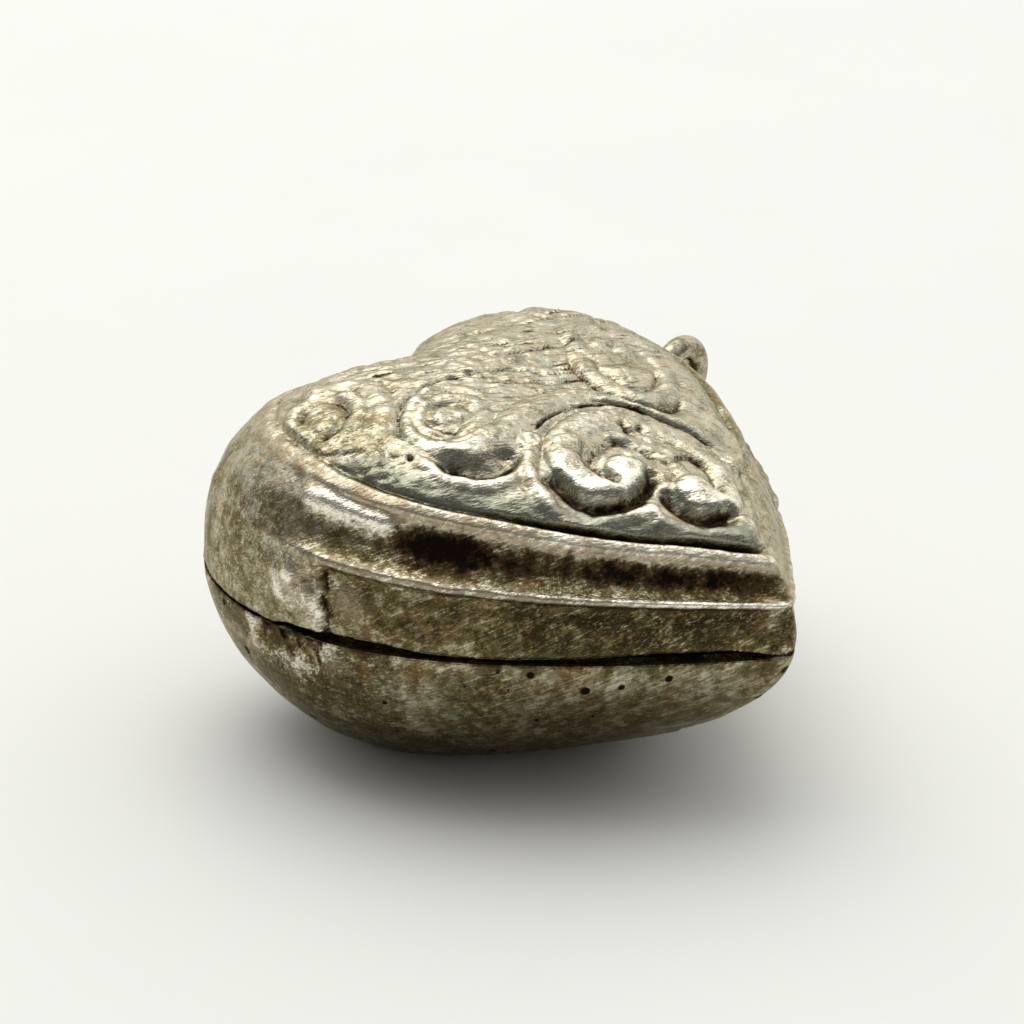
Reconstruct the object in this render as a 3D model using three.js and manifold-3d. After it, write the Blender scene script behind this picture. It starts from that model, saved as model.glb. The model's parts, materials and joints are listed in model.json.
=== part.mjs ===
// Opening heart charm: a cast silver heart of two hinged shells that lies on its back.
// Millimetres, +Z up. The origin is the middle of the flat land that the back rests on.
// +Y runs from the heart's tip to its cleft, and +X to the side with the hinge and the bail.
import * as THREE from 'three';
import { mergeVertices } from 'three/addons/utils/BufferGeometryUtils.js';
import Module from 'manifold-3d';

// Heart outline at the seam
const HALF_WIDTH = 9.8; // middle line to the widest point of either side
const WIDEST_FROM_TIP = 13.2; // tip to the widest point, along the middle line
const LOBE_HEIGHT = 6.4; // widest point up to the top of a lobe
const LOBE_TOP_OUT = 5.2; // middle line to the top of a lobe
const CLEFT_DEPTH = 2.6; // tops of the lobes down to the cleft
const CLEFT_SPREAD = 1.3; // how far out the cleft's sides start to turn upright
const TIP_HALF_ANGLE = THREE.MathUtils.degToRad(52);
const TIP_REACH = 4.25; // how far up the flanks keep the slope of the tip
const SIDE_REACH = 4.7; // how far below the widest point the sides stay upright
const QUARTER_ROUND = 0.55; // handle share that turns a cubic curve into a quarter round

// Domes of the two shells, both counted from the seam
const CROWN_BELOW_WIDEST = 2.9; // the rings of both domes shrink to this point
const FRONT_RISE = 6.2;
const FRONT_CROWN_POWER = 3.7; // higher is flatter on top
const FRONT_WALL_POWER = 2.8; // higher is more upright at the seam
const BACK_RISE = 6.6;
const BACK_CROWN_POWER = 2.75;
const BACK_WALL_POWER = 1.68;
const BACK_DEPTH = 5.9; // seam to the worn flat land on the back's crown
const TIP_SHARE = 0.55; // share of the dome's rise that is left at the tip
const TIP_FADE_POWER = 0.8; // how soon the rise is regained above the tip
const CLEFT_FADE_POWER = 1.8; // how soon the cleft fills towards the crown
const REST_BELOW_WIDEST = 1.2; // widest point back to the middle of the land

// Walls, rims and the raised borders round the front's scroll field
const WALL = 0.75;
const SEAM_GAP = 0.2; // between the rims of the closed shells
const OUTER_BORDER_UP = 2.7; // seam to the outer border's ridge, over the surface
const INNER_BORDER_UP = 5.3; // seam to the inner border's ridge, over the surface
const BORDER_WIDTH = 0.5;
const BORDER_HEIGHT = 0.18;
const CHANNEL_DEPTH = 0.25; // hollow between the two borders

// Scrolls cast on the front, drawn in plan as [across, up from the tip, half width]
const SCROLL_HEIGHT = 0.28; // crest over the dome
const COIL_HEIGHT = 0.14; // crest of the low coils on the lobes and of the scallops
const SCROLL_ROOT = 0.2; // how far a scroll reaches into the wall
const SCROLL_STEP = 0.55; // length of a facet along a scroll
const ROUND_BACK = [[0.9, 0.35], [0.5, 0.85]]; // shares of a scroll's half width and height
const BOLD_SCROLL = [
  [-1.5, 6, 0.75], [-2.6, 6.25, 0.78], [-2.75, 7.5, 0.82], [-1.5, 8.6, 0.82], [0.3, 8.7, 0.82],
  [1.85, 7.5, 0.78], [2.3, 5.9, 0.7], [1.9, 4.3, 0.66], [0.8, 3.7, 0.7],
];
const WAVE_COIL = { centre: [-4.05, 11.5], from: -180, to: 200, inner: 0.45, outer: 1.5, half: 0.42 };
const WAVE_TAIL = [
  [-4.2, 9.65, 0.72], [-3, 9.6, 0.72], [-1.6, 10.05, 0.66], [0.5, 10.05, 0.62], [2.1, 9.2, 0.55],
  [3.2, 7.7, 0.4],
];
const LOBE_COIL = { centre: [-6.55, 14.65], from: 400, to: -40, inner: 0.4, outer: 1.55, half: 0.38 };
const LOBE_TAIL = [[-5.6, 12.9, 0.36], [-6.4, 12.3, 0.3]];
const FAR_COIL = { centre: [4.5, 11.6], from: 400, to: -40, inner: 0.45, outer: 1.95, half: 0.42 };
const FAR_TAIL = [[5.6, 9, 0.45], [4.9, 7.7, 0.4], [4.1, 6.6, 0.35]];
const SCALLOPS = [
  [[-6.4, 10.6, 0.3], [-5.7, 9.2, 0.3], [-4.5, 8.35, 0.3], [-3.1, 8.6, 0.3]],
  [[-3.6, 8.3, 0.3], [-4.4, 7, 0.3], [-4.15, 5.55, 0.3]],
  [[-4.15, 5.55, 0.3], [-2.6, 4.85, 0.3], [-1.95, 4.6, 0.3]],
  [[-1.95, 4.6, 0.3], [-1.9, 3.9, 0.3], [-1.05, 2.9, 0.3], [-0.1, 2.3, 0.3]],
];

// Round ends of the bold scroll and the swells beside them, as [across, up, radius, height]
const KNOBS = [[-1.15, 6.45, 0.85, 0.3], [0.25, 4.25, 0.82, 0.3], [-0.7, 7.2, 1.2, 0.16], [1, 5.2, 1, 0.15]];

// Ground sunk beside the scrolls
const SUNK_DEPTH = 0.26;
const SUNK_MOUTH = 0.35; // height over the dome at which a sunk stretch has its full width
const SUNK_FLOOR = 0.4; // share of the width that its floor takes
const SUNK_GROUND = [
  [[-2.8, 8.45, 0.38], [-3.6, 7.3, 0.38], [-3.4, 6, 0.38], [-1.9, 5.25, 0.36], [-0.45, 5.75, 0.3]],
  [[-0.7, 5.15, 0.36], [-1.05, 4.3, 0.4], [-0.65, 3.45, 0.38], [0.8, 3.15, 0.3]],
  [[-5.8, 10.7, 0.32], [-5.2, 9.35, 0.34], [-3.9, 8.8, 0.34], [-3.3, 8.95, 0.3]],
];

// Closing rim: a band in the back shell that the front shell slips over
const RIM_THICKNESS = 0.35;
const RIM_STAND = 0.8; // height above the seam
const RIM_SEAT = 0.9; // depth of its ledge below the seam
const RIM_CLEARANCE = 0.12; // to the inside of both shells
const RIM_CHAMFER = 0.12; // leads the front shell on
const LEDGE_LIP = 0.1; // ledge left showing inside the rim

// Thumbnail scoop in the back shell, opposite the hinge
const SCOOP_RADIUS = 4.0;
const SCOOP_DEPTH = 0.3;
const SCOOP_HEIGHT = 1.1; // seam down to its floor

// Hinge, with its axis in the seam's plane beside the widest point
const KNUCKLE_RADIUS = 0.65;
const KNUCKLE_LENGTH = 1.6;
const KNUCKLE_GAP = 0.08; // end play between neighbouring knuckles
const PIN_RADIUS = 0.3;
const PIN_CLEARANCE = 0.06; // pin to bore, on the radius
const PIN_HEAD_RADIUS = 0.45;
const PIN_HEAD_HEIGHT = 0.22;
const HINGE_STANDOFF = 0.1; // shells' widest point to the knuckles
const SEAT_DEPTH = 0.35; // flat filed into both shells for the knuckles' feet
const SEAT_CLEARANCE = 0.15; // seat beyond the feet, all round
const FOOT_HEIGHT = 0.9; // seam's plane to the far edge of a foot
const FOOT_STEP = 0.12; // seam's plane to the near edge of a foot
const FOOT_SHOULDER = 0.4; // flat top of a foot, counted from the hinge's axis
const SOLDER_GAP = 0.05; // between soldered pieces

// Bail: a wire loop soldered to the front shell above the hinge
const BAIL_RADIUS = 1.02; // to the middle of the wire
const BAIL_WIRE = 0.43; // wire's radius
const BAIL_FLAT = 0.25; // filed off the loop where it meets the shell
const BAIL_UP = 2.5; // seam's plane to the loop's centre

// Facets
const FLANK_STEPS = 16;
const SHOULDER_STEPS = 12;
const CLEFT_STEPS = 8;
const ROUND_STEPS = 24;
const SLIVER = 0.003; // edges shorter than this are closed up

// Places worked out from the sizes above
const HEART_LENGTH = WIDEST_FROM_TIP + LOBE_HEIGHT;
const CROWN_FROM_TIP = WIDEST_FROM_TIP - CROWN_BELOW_WIDEST;
const REST_FROM_TIP = WIDEST_FROM_TIP - REST_BELOW_WIDEST;
const HINGE_X = HALF_WIDTH + HINGE_STANDOFF + KNUCKLE_RADIUS;
const SEAT_X = HALF_WIDTH - SEAT_DEPTH;
const KNUCKLE_PITCH = KNUCKLE_LENGTH + KNUCKLE_GAP;
const HINGE_LENGTH = 3 * KNUCKLE_LENGTH + 2 * KNUCKLE_GAP;
const BAIL_OUTER = BAIL_RADIUS + BAIL_WIRE;

const wasm = await Module();
wasm.setup();

// Solids and their cuts

function toSolid(geometry) {
  const bare = geometry.clone();
  bare.deleteAttribute('normal');
  bare.deleteAttribute('uv');
  const merged = mergeVertices(bare, 1e-4);
  return new wasm.Manifold(new wasm.Mesh({
    numProp: 3,
    vertProperties: new Float32Array(merged.attributes.position.array),
    triVerts: new Uint32Array(merged.index.array),
  }));
}

function toGeometry(solid) {
  const mesh = solid.getMesh();
  const geometry = new THREE.BufferGeometry();
  geometry.setAttribute('position', new THREE.Float32BufferAttribute(mesh.vertProperties, 3));
  geometry.setIndex(Array.from(mesh.triVerts));
  geometry.computeVertexNormals();
  return geometry;
}

// A geometry with others joined to it and tools cut out of it, with slivers closed up
function shaped(geometry, { joined = [], tools = [] }) {
  const whole = joined.reduce((solid, extra) => solid.add(toSolid(extra)), toSolid(geometry));
  const left = tools.reduce((solid, tool) => solid.subtract(toSolid(tool)), whole);
  return toGeometry(left.setTolerance(SLIVER));
}

// A box given by its low and high corners
function boxBetween(low, high) {
  const size = high.clone().sub(low);
  const box = new THREE.BoxGeometry(size.x, size.y, size.z);
  const middle = low.clone().add(high).multiplyScalar(0.5);
  return box.translate(middle.x, middle.y, middle.z);
}

// Heart outline and rings

// Half of the outline, from the tip round one lobe to a cleft of the given depth
function halfOutline(cleftDepth) {
  const point = (x, y) => new THREE.Vector2(x, y);
  const widest = point(HALF_WIDTH, WIDEST_FROM_TIP);
  const lobeTop = point(LOBE_TOP_OUT, HEART_LENGTH);
  const cleft = point(0, HEART_LENGTH - cleftDepth);
  const flank = new THREE.CubicBezierCurve(
    point(0, 0),
    point(TIP_REACH * Math.tan(TIP_HALF_ANGLE), TIP_REACH),
    point(HALF_WIDTH, WIDEST_FROM_TIP - SIDE_REACH),
    widest,
  );
  const shoulder = new THREE.CubicBezierCurve(
    widest,
    point(HALF_WIDTH, WIDEST_FROM_TIP + QUARTER_ROUND * LOBE_HEIGHT),
    point(LOBE_TOP_OUT + QUARTER_ROUND * (HALF_WIDTH - LOBE_TOP_OUT), HEART_LENGTH),
    lobeTop,
  );
  const fall = new THREE.CubicBezierCurve(
    lobeTop,
    point((1 - QUARTER_ROUND) * LOBE_TOP_OUT, HEART_LENGTH),
    point(CLEFT_SPREAD, HEART_LENGTH - QUARTER_ROUND * cleftDepth),
    cleft,
  );
  return [
    ...flank.getPoints(FLANK_STEPS),
    ...shoulder.getPoints(SHOULDER_STEPS).slice(1),
    ...fall.getPoints(CLEFT_STEPS).slice(1),
  ];
}

// A whole outline shrunk about the crown's point, counter-clockwise from the tip
function heartRing(scale, cleftFade) {
  const right = halfOutline(CLEFT_DEPTH * scale ** cleftFade).map((p) => new THREE.Vector2(
    p.x * scale,
    CROWN_FROM_TIP + scale * (p.y - CROWN_FROM_TIP),
  ));
  const left = right.slice(1, -1).reverse().map((p) => new THREE.Vector2(-p.x, p.y));
  return [...right, ...left];
}

// Share of a dome's rise at a distance from the tip
function riseShare(fromTip) {
  const climb = THREE.MathUtils.clamp(fromTip / WIDEST_FROM_TIP, 0, 1) ** TIP_FADE_POWER;
  return TIP_SHARE + (1 - TIP_SHARE) * climb;
}

// Height of a dome at full rise, as a share, on the ring of the given scale
function domeShare(scale, crownPower, wallPower) {
  return (1 - scale ** crownPower) ** (1 / wallPower);
}

// A ring raised to the height that a function gives for each distance from the tip
function raise(ring, heightAt) {
  return ring.map((p) => new THREE.Vector3(p.x, p.y, heightAt(p.y)));
}

// Triangles between neighbouring rings of equal count
function ringIndex(from, to, count) {
  const index = [];
  for (let i = 0; i < count; i += 1) {
    const next = (i + 1) % count;
    index.push(from + i, to + i, to + next, from + i, to + next, from + next);
  }
  return index;
}

function indexed(points, index) {
  const geometry = new THREE.BufferGeometry().setFromPoints(points);
  geometry.setIndex(index);
  geometry.computeVertexNormals();
  return geometry;
}

// A closed skin from one pole over the rings to the other pole
function poleSkin(firstPole, rings, lastPole, flipped) {
  const count = rings[0].length;
  const points = [firstPole, ...rings.flat(), lastPole];
  const last = points.length - 1;
  const index = [];
  for (let i = 0; i < count; i += 1) {
    const next = (i + 1) % count;
    index.push(0, 1 + i, 1 + next);
    index.push(last, last - count + next, last - count + i);
  }
  for (let k = 0; k + 1 < rings.length; k += 1) {
    index.push(...ringIndex(1 + k * count, 1 + (k + 1) * count, count));
  }
  return indexed(points, flipped ? index.reverse() : index);
}

// A closed hoop whose section runs through the rings and back to the first
function hoopSkin(rings) {
  const count = rings[0].length;
  const index = rings.flatMap((_, k) => (
    ringIndex(k * count, ((k + 1) % rings.length) * count, count)
  ));
  return indexed(rings.flat(), index);
}

// Front shell

// The front dome's section at full rise, as points with their length from the seam
function frontSection() {
  const steps = 400;
  const section = [];
  for (let i = 0; i <= steps; i += 1) {
    const turn = (Math.PI / 2) * (i / steps);
    const scale = Math.cos(turn) ** (2 / FRONT_CROWN_POWER);
    const out = scale * HALF_WIDTH;
    const up = FRONT_RISE * domeShare(scale, FRONT_CROWN_POWER, FRONT_WALL_POWER);
    const before = section[i - 1];
    const length = before ? before.length + Math.hypot(out - before.out, up - before.up) : 0;
    section.push({ scale, out, up, length });
  }
  return section;
}

// Ridges and hollows of the front, as [length from the seam, lift off the dome]
function frontStations(wholeLength) {
  const half = BORDER_WIDTH / 2;
  const ridge = (at) => [[at - half, 0], [at, BORDER_HEIGHT], [at + half, 0]];
  const channelFrom = OUTER_BORDER_UP + half;
  const channelWidth = INNER_BORDER_UP - half - channelFrom;
  const channel = [0.25, 0.5, 0.75].map((share) => [
    channelFrom + share * channelWidth,
    -CHANNEL_DEPTH * Math.sin(share * Math.PI),
  ]);
  const fieldFrom = INNER_BORDER_UP + half;
  const field = [0.15, 0.33, 0.53, 0.75].map((share) => [
    fieldFrom + share * (wholeLength - fieldFrom),
    0,
  ]);
  return [
    [0, 0],
    [OUTER_BORDER_UP / 2, 0],
    ...ridge(OUTER_BORDER_UP),
    ...channel,
    ...ridge(INNER_BORDER_UP),
    ...field,
  ];
}

function frontOuterRings() {
  const section = frontSection();
  const wholeLength = section[section.length - 1].length;
  return frontStations(wholeLength).map(([length, lift]) => {
    const at = Math.max(1, section.findIndex((p) => p.length >= length));
    const after = section[at];
    const before = section[at - 1];
    const step = after.length - before.length;
    const share = (length - before.length) / step;
    const normalOut = (after.up - before.up) / step;
    const normalUp = (before.out - after.out) / step;
    const out = THREE.MathUtils.lerp(before.out, after.out, share);
    const up = THREE.MathUtils.lerp(before.up, after.up, share);
    const ring = heartRing((out + lift * normalOut) / HALF_WIDTH, CLEFT_FADE_POWER);
    return raise(ring, (y) => SEAM_GAP / 2 + up * riseShare(y) + lift * normalUp);
  });
}

// Scrolls on the front

function ringHolds(ring, x, y) {
  let holds = false;
  ring.forEach((p, i) => {
    const q = ring[(i + 1) % ring.length];
    const crosses = (p.y > y) !== (q.y > y);
    if (crosses && x < p.x + ((y - p.y) / (q.y - p.y)) * (q.x - p.x)) holds = !holds;
  });
  return holds;
}

// Height of the front's plain dome over a point of the plan
function frontHeight(x, y) {
  let inside = 1;
  let outside = 0;
  for (let halving = 0; halving < 20; halving += 1) {
    const middle = (inside + outside) / 2;
    if (ringHolds(heartRing(middle, CLEFT_FADE_POWER), x, y)) inside = middle;
    else outside = middle;
  }
  const dome = domeShare(inside, FRONT_CROWN_POWER, FRONT_WALL_POWER);
  return SEAM_GAP / 2 + FRONT_RISE * riseShare(y) * dome;
}

// Plan points of a coil that opens evenly from its inner to its outer radius
function coilPoints({ centre, from, to, inner, outer, half }) {
  const count = Math.round(Math.abs(to - from) / 45);
  return Array.from({ length: count + 1 }, (_, i) => {
    const turn = THREE.MathUtils.degToRad(THREE.MathUtils.lerp(from, to, i / count));
    const radius = THREE.MathUtils.lerp(inner, outer, i / count);
    return [centre[0] + radius * Math.cos(turn), centre[1] + radius * Math.sin(turn), half];
  });
}

function overDome(x, y, lift) {
  return new THREE.Vector3(x, y, frontHeight(x, y) + lift);
}

// A bar along plan points, whose section is given as [share of the half width, lift off the dome]
function overDomeBar(planPoints, section) {
  const stops = planPoints.map((p) => new THREE.Vector3(...p));
  const path = new THREE.CatmullRomCurve3(stops, false, 'catmullrom');
  const steps = Math.round(path.getLength() / SCROLL_STEP);
  const points = [];
  for (let i = 0; i <= steps; i += 1) {
    const { x, y, z: half } = path.getPointAt(i / steps);
    const along = path.getTangentAt(i / steps);
    const across = new THREE.Vector2(-along.y, along.x).normalize().multiplyScalar(half);
    points.push(...section.map(([side, lift]) => overDome(x + side * across.x, y + side * across.y, lift)));
  }
  const count = section.length;
  const index = [];
  for (let i = 0; i < steps; i += 1) index.push(...ringIndex(i * count, (i + 1) * count, count));
  const end = steps * count;
  for (let k = 1; k + 1 < count; k += 1) {
    index.push(0, k, k + 1);
    index.push(end, end + k + 1, end + k);
  }
  return indexed(points, index);
}

// A round-backed band, rooted in the dome
function scrollBand(planPoints, height) {
  const rise = ROUND_BACK.map(([side, share]) => [side, share * height]);
  const left = [[1, -SCROLL_ROOT], ...rise].map(([side, lift]) => [-side, lift]);
  const right = [...rise].reverse();
  return overDomeBar(
    planPoints,
    [...left, [0, height], ...right, [1, -SCROLL_ROOT], [0, -1.5 * SCROLL_ROOT]],
  );
}

function scrollKnob([x, y, radius, height]) {
  const circle = Array.from({ length: ROUND_STEPS / 2 }, (_, i) => (4 * Math.PI * i) / ROUND_STEPS);
  const ring = (share, lift) => circle.map((turn) => (
    overDome(x + share * radius * Math.cos(turn), y + share * radius * Math.sin(turn), lift)
  ));
  const rise = [...ROUND_BACK].reverse().map(([side, share]) => ring(side, share * height));
  return poleSkin(
    overDome(x, y, height),
    [...rise, ring(1, -SCROLL_ROOT)],
    overDome(x, y, -1.5 * SCROLL_ROOT),
    false,
  );
}

function frontScrolls() {
  const mirrored = (points) => points.map(([x, ...rest]) => [-x, ...rest]);
  const low = [[...coilPoints(LOBE_COIL), ...LOBE_TAIL], ...SCALLOPS];
  return [
    scrollBand(BOLD_SCROLL, SCROLL_HEIGHT),
    scrollBand([...coilPoints(WAVE_COIL), ...WAVE_TAIL], SCROLL_HEIGHT),
    scrollBand([...coilPoints(FAR_COIL), ...FAR_TAIL], COIL_HEIGHT),
    ...low.flatMap((points) => [points, mirrored(points)]).map((points) => scrollBand(points, COIL_HEIGHT)),
    ...KNOBS.map(scrollKnob),
  ];
}

// Ground cut away beside the scrolls
function sunkGround() {
  const section = [[-1, SUNK_MOUTH], [1, SUNK_MOUTH], [SUNK_FLOOR, -SUNK_DEPTH], [-SUNK_FLOOR, -SUNK_DEPTH]];
  return SUNK_GROUND.map((points) => overDomeBar(points, section));
}

// Inside of a shell: the outline without its cleft filling in, one wall further in
const INNER_SCALE = 1 - WALL / HALF_WIDTH;
const BOWL_SHARES = [0.985, 0.95, 0.88, 0.77, 0.6, 0.36];

function frontShell() {
  const outer = frontOuterRings().reverse();
  const rise = FRONT_RISE - WALL;
  const innerUp = (share) => (y) => (
    SEAM_GAP / 2 + rise * riseShare(y) * domeShare(share, FRONT_CROWN_POWER, FRONT_WALL_POWER)
  );
  const inner = [1, ...BOWL_SHARES].map((share) => (
    raise(heartRing(share * INNER_SCALE, 0), innerUp(share))
  ));
  const top = SEAM_GAP / 2 + FRONT_RISE * riseShare(CROWN_FROM_TIP);
  const skin = poleSkin(
    new THREE.Vector3(0, CROWN_FROM_TIP, top),
    [...outer, ...inner],
    new THREE.Vector3(0, CROWN_FROM_TIP, innerUp(0)(CROWN_FROM_TIP)),
    false,
  );
  return shaped(skin, { joined: frontScrolls(), tools: [...sunkGround(), hingeSeat()] });
}

// Back shell

const BACK_OUTER_SCALES = [0.25, 0.42, 0.56, 0.68, 0.78, 0.86, 0.92, 0.96, 0.985, 1];

function backDepth(scale, fromTip) {
  const dome = BACK_RISE * riseShare(fromTip) * domeShare(scale, BACK_CROWN_POWER, BACK_WALL_POWER);
  return -Math.min(BACK_DEPTH, SEAM_GAP / 2 + dome);
}

const LEDGE_SCALE = INNER_SCALE - (RIM_CLEARANCE + RIM_THICKNESS + LEDGE_LIP) / HALF_WIDTH;

function bowlDepth(share, fromTip) {
  const rise = BACK_RISE - WALL - RIM_SEAT;
  const dome = rise * riseShare(fromTip) * domeShare(share, BACK_CROWN_POWER, BACK_WALL_POWER);
  return -Math.min(BACK_DEPTH - WALL, RIM_SEAT + dome);
}

function backShell() {
  const outer = BACK_OUTER_SCALES.map((scale) => (
    raise(heartRing(scale, CLEFT_FADE_POWER), (y) => backDepth(scale, y))
  ));
  const rim = [-SEAM_GAP / 2, -RIM_SEAT].map((depth) => raise(heartRing(INNER_SCALE, 0), () => depth));
  const bowl = [1, ...BOWL_SHARES].map((share) => (
    raise(heartRing(share * LEDGE_SCALE, 0), (y) => bowlDepth(share, y))
  ));
  const skin = poleSkin(
    new THREE.Vector3(0, CROWN_FROM_TIP, -BACK_DEPTH),
    [...outer, ...rim, ...bowl],
    new THREE.Vector3(0, CROWN_FROM_TIP, bowlDepth(0, CROWN_FROM_TIP)),
    true,
  );
  return shaped(skin, { tools: [hingeSeat(), thumbScoop()] });
}

// Half-moon cut that lets a thumbnail lift the front shell
function thumbScoop() {
  const height = SCOOP_HEIGHT + SEAM_GAP;
  const scoop = new THREE.CylinderGeometry(SCOOP_RADIUS, SCOOP_RADIUS, height, 3 * ROUND_STEPS);
  scoop.rotateX(Math.PI / 2);
  return scoop.translate(
    -(HALF_WIDTH + SCOOP_RADIUS - SCOOP_DEPTH),
    WIDEST_FROM_TIP,
    SEAM_GAP - height / 2,
  );
}

// Closing rim

function closingRim() {
  const scaleAt = (inset) => INNER_SCALE - inset / HALF_WIDTH;
  const outside = scaleAt(RIM_CLEARANCE);
  const chamfer = scaleAt(RIM_CLEARANCE + RIM_CHAMFER);
  const inside = scaleAt(RIM_CLEARANCE + RIM_THICKNESS);
  const foot = -RIM_SEAT + SOLDER_GAP;
  const section = [
    [chamfer, RIM_STAND],
    [outside, RIM_STAND - RIM_CHAMFER],
    [outside, foot],
    [inside, foot],
    [inside, RIM_STAND],
  ];
  return hoopSkin(section.map(([scale, height]) => raise(heartRing(scale, 0), () => height)));
}

// Hinge

// Flat that both shells are filed to beside the hinge
function hingeSeat() {
  const reach = FOOT_HEIGHT + SEAT_CLEARANCE;
  const half = HINGE_LENGTH / 2 + SEAT_CLEARANCE;
  return boxBetween(
    new THREE.Vector3(SEAT_X, WIDEST_FROM_TIP - half, -reach),
    new THREE.Vector3(HINGE_X, WIDEST_FROM_TIP + half, reach),
  );
}

// A knuckle with its foot, seen along the hinge; side is 1 for a foot above the seam, -1 below
function knuckle(side, slot) {
  const face = SEAT_X + SOLDER_GAP - HINGE_X;
  const stepAngle = Math.PI - Math.asin(FOOT_STEP / KNUCKLE_RADIUS);
  const shape = new THREE.Shape();
  shape.moveTo(face, FOOT_STEP);
  shape.lineTo(KNUCKLE_RADIUS * Math.cos(stepAngle), FOOT_STEP);
  shape.absarc(0, 0, KNUCKLE_RADIUS, stepAngle, 2.5 * Math.PI, false);
  shape.lineTo(-FOOT_SHOULDER, FOOT_HEIGHT);
  shape.lineTo(face, FOOT_HEIGHT);
  shape.closePath();
  const bore = new THREE.Path();
  bore.absarc(0, 0, PIN_RADIUS + PIN_CLEARANCE, 0, 2 * Math.PI, true);
  shape.holes.push(bore);
  const tube = new THREE.ExtrudeGeometry(shape, {
    depth: KNUCKLE_LENGTH,
    bevelEnabled: false,
    curveSegments: ROUND_STEPS,
  });
  tube.translate(0, 0, -KNUCKLE_LENGTH / 2);
  tube.rotateX(side * Math.PI / 2);
  return tube.translate(HINGE_X, WIDEST_FROM_TIP + slot * KNUCKLE_PITCH, 0);
}

// Pin with a peened head at each end
function hingePin() {
  const half = HINGE_LENGTH / 2 + KNUCKLE_GAP;
  const end = half + PIN_HEAD_HEIGHT;
  const crown = 0.6 * PIN_HEAD_RADIUS;
  const profile = [
    [0, -end],
    [crown, -end],
    [PIN_HEAD_RADIUS, -half],
    [PIN_RADIUS, -half],
    [PIN_RADIUS, half],
    [PIN_HEAD_RADIUS, half],
    [crown, end],
    [0, end],
  ].map(([x, y]) => new THREE.Vector2(x, y));
  const pin = new THREE.LatheGeometry(profile, ROUND_STEPS);
  return pin.translate(HINGE_X, WIDEST_FROM_TIP, 0);
}

// Bail

function bailLoop() {
  const seat = HALF_WIDTH + SOLDER_GAP;
  const middle = seat + BAIL_OUTER - BAIL_FLAT;
  const loop = new THREE.TorusGeometry(BAIL_RADIUS, BAIL_WIRE, 12, 1.25 * ROUND_STEPS);
  loop.rotateX(Math.PI / 2);
  loop.translate(middle, WIDEST_FROM_TIP, BAIL_UP);
  const filed = boxBetween(
    new THREE.Vector3(seat - BAIL_OUTER, WIDEST_FROM_TIP - BAIL_OUTER, BAIL_UP - BAIL_OUTER),
    new THREE.Vector3(seat, WIDEST_FROM_TIP + BAIL_OUTER, BAIL_UP + BAIL_OUTER),
  );
  return shaped(loop, { tools: [filed] });
}

// Materials

function silver(color, roughness) {
  return new THREE.MeshStandardMaterial({ color, roughness, metalness: 1 });
}

function piece(name, geometry, material) {
  const mesh = new THREE.Mesh(geometry, material);
  mesh.name = name;
  return mesh;
}

// Assembly: turning the lid's group about its Y axis opens the heart

const base = new THREE.Group();
base.add(
  piece('back_shell', backShell(), silver(0x9a9080, 0.42)),
  piece('closing_rim', closingRim(), silver(0x8c8478, 0.45)),
  piece('lower_hinge_knuckle', knuckle(-1, -1), silver(0x8a8274, 0.4)),
  piece('upper_hinge_knuckle', knuckle(-1, 1), silver(0x8a8274, 0.4)),
  piece('hinge_pin', hingePin(), silver(0x7c766c, 0.35)),
);

const lid = new THREE.Group();
lid.position.set(HINGE_X, WIDEST_FROM_TIP, 0);
const lidPieces = [
  piece('front_shell', frontShell(), silver(0xa69a86, 0.38)),
  piece('middle_hinge_knuckle', knuckle(1, 0), silver(0x8a8274, 0.4)),
  piece('bail_loop', bailLoop(), silver(0xb4aea2, 0.32)),
];
for (const mesh of lidPieces) {
  mesh.position.set(-HINGE_X, -WIDEST_FROM_TIP, 0);
  lid.add(mesh);
}

const charm = new THREE.Group();
charm.position.set(0, -REST_FROM_TIP, BACK_DEPTH);
charm.add(base, lid);

export default charm;
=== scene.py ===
"""Looks of the opening heart charm: two cast and carved silver shells, their hinge and a bail."""

import json
import math
from functools import reduce

import bmesh
import bpy
import numpy as np
from bpy.props import FloatProperty, FloatVectorProperty, PointerProperty
from mathutils import Matrix, Vector, noise

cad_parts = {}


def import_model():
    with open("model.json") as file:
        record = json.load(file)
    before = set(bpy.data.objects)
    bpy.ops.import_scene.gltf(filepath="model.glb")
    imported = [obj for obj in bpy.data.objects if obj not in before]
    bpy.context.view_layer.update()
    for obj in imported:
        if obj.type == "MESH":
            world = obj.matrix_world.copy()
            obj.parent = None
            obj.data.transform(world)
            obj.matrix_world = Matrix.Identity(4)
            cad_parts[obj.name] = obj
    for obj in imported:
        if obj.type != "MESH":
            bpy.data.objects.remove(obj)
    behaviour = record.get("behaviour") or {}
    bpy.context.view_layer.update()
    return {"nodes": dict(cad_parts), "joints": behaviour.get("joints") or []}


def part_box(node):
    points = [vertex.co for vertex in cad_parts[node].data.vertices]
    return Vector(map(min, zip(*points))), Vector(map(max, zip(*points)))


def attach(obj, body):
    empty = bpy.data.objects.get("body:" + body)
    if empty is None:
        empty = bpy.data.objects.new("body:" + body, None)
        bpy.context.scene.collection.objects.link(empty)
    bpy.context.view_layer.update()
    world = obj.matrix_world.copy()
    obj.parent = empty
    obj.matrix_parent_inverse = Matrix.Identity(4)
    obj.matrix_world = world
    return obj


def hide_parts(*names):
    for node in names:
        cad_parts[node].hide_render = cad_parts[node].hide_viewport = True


bl_info = {
    "name": "Opening heart charm",
    "version": (1, 0, 0),
    "blender": (4, 5, 0),
    "location": "3D View > Sidebar > Heart charm",
    "description": "Builds the carved shells, hinge, bail and stage of an opening heart charm",
    "category": "Add Mesh",
}

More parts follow.
